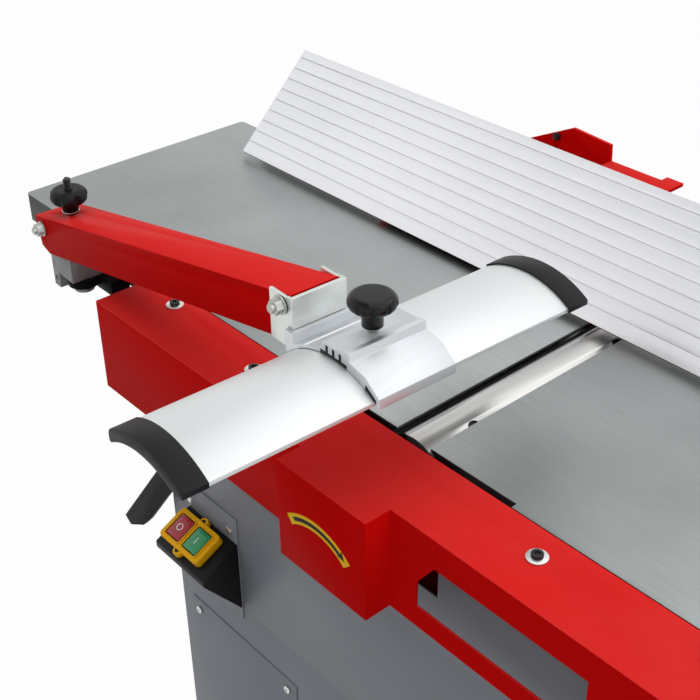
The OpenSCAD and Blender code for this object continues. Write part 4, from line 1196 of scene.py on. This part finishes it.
# %% Screws of the rear cover
edge_distance = 0.022
row_distance = 0.17
rear_low, rear_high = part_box("rear_cover")
for i, (along, row) in enumerate(((0, 0), (0, 1), (0.5, 0), (0.5, 1), (1, 0), (1, 1))):
    x = rear_low.x + edge_distance + along * (rear_high.x - rear_low.x - 2 * edge_distance)
    z = rear_low.z + edge_distance + row * row_distance
    placed_copy(screw_head, f"rear_cover_screw_{i}", (x, rear_high.y, z), (0, 1, 0), zinc_plate,
                "machine", size=0.005, spin=30 * i)
bpy.data.objects.remove(screw_head)
print("6 screws on the rear cover")

# %% [markdown]
# Dome nuts
# Levers that hands pass are closed with dome nuts on washers. The nut is a cylinder with six
# sides whose corners are turned round, and a sphere stands in it for the dome. The three are
# joined to one master, which is copied to the levers and the handwheel.

# %% Dome nut
dome_nut = new_piece("dome_nut", bpy.ops.mesh.primitive_cylinder_add, vertices=6, radius=1.0,
                     depth=0.8, location=(0, 0, 0.55))
modify(dome_nut, "BEVEL", width=0.1, segments=3, limit_method="ANGLE", angle_limit=radians(70))
washer = new_piece("washer", bpy.ops.mesh.primitive_cylinder_add, vertices=40, radius=1.35,
                   depth=0.2, location=(0, 0, 0.1))
modify(washer, "BEVEL", width=0.05, segments=2, limit_method="ANGLE", angle_limit=radians(60))
dome = new_piece("dome", bpy.ops.mesh.primitive_uv_sphere_add, segments=28, ring_count=14,
                 radius=0.72, location=(0, 0, 0.85))
for piece in (washer, dome, dome_nut):
    piece.select_set(True)
bpy.context.view_layer.objects.active = dome_nut
bpy.ops.object.join()
print("dome nut", len(dome_nut.data.polygons), "faces")

# %% Nuts of the levers and the handwheel
to_the_front = (0, -1, 0)
lever_pivot_x = 0.3
lever_pivot_height = table_top - 0.165
for node, x in (("outfeed_lock_lever", -lever_pivot_x), ("infeed_lock_lever", lever_pivot_x)):
    placed_copy(dome_nut, node + "_nut", (x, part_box(node)[0].y, lever_pivot_height), to_the_front,
                zinc_plate, body_of_node[node], size=0.0085, spin=10)
wheel_low, wheel_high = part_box("handwheel")
wheel_middle = (0, cabinet_low.y - 0.078, (wheel_low.z + wheel_high.z) / 2)
placed_copy(dome_nut, "handwheel_nut", wheel_middle, to_the_front, zinc_plate,
            body_of_node["handwheel"], size=0.008)
bpy.data.objects.remove(dome_nut)
print("3 dome nuts")

# %% [markdown]
# Beads of the dust port
# A hose is pushed over the port and held by two raised beads. A bead is rolled into the sheet on
# the real machine. A thin torus that lies half in the wall gives the same line.

# %% Beads of the dust port
port_height = table_top - 0.133
port_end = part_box("dust_hood")[1].x
for i, inwards in enumerate((0.004, 0.02)):
    bead = new_piece(f"port_bead_{i}", bpy.ops.mesh.primitive_torus_add, major_radius=0.0521,
                     minor_radius=0.0014, major_segments=96, minor_segments=10,
                     rotation=(0, pi / 2, 0), location=(port_end - inwards, 0, port_height))
    settle(bead, black_coat, "machine")
print("2 beads on the dust port")

# %% [markdown]
# Parts inside the machine
# Rollers, bearings and the drive are seen through the gaps only. Rounded edges would not show
# there, so their shapes stay as they are in the model and only get their finish.

# %% Finish of the inner parts
for node, finish in (
    ("bearing_housings", dark_casting), ("cutter_bearings", shaft_steel), ("motor", motor_paint),
    ("roller_bushes", bush_bronze), ("kickback_shaft", shaft_steel), ("table_column", dark_casting),
    ("cable_gland", black_grip), ("hinge_pins", shaft_steel), ("planer_knives", knife_steel),
    ("knife_wedges", black_steel), ("cutter_pulley", dark_casting), ("motor_shaft", shaft_steel),
    ("motor_pulley", dark_casting), ("feed_reducer", dark_casting), ("infeed_roller", shaft_steel),
    ("outfeed_roller", shaft_steel), ("kickback_fingers", black_steel), ("lift_screw", shaft_steel),
    ("handwheel_shaft", shaft_steel), ("drive_belt", rubber), ("feed_chain", shaft_steel),
):
    mesh = frame["nodes"][node].data
    mesh.materials.clear()
    mesh.materials.append(finish)
print("inner parts finished")
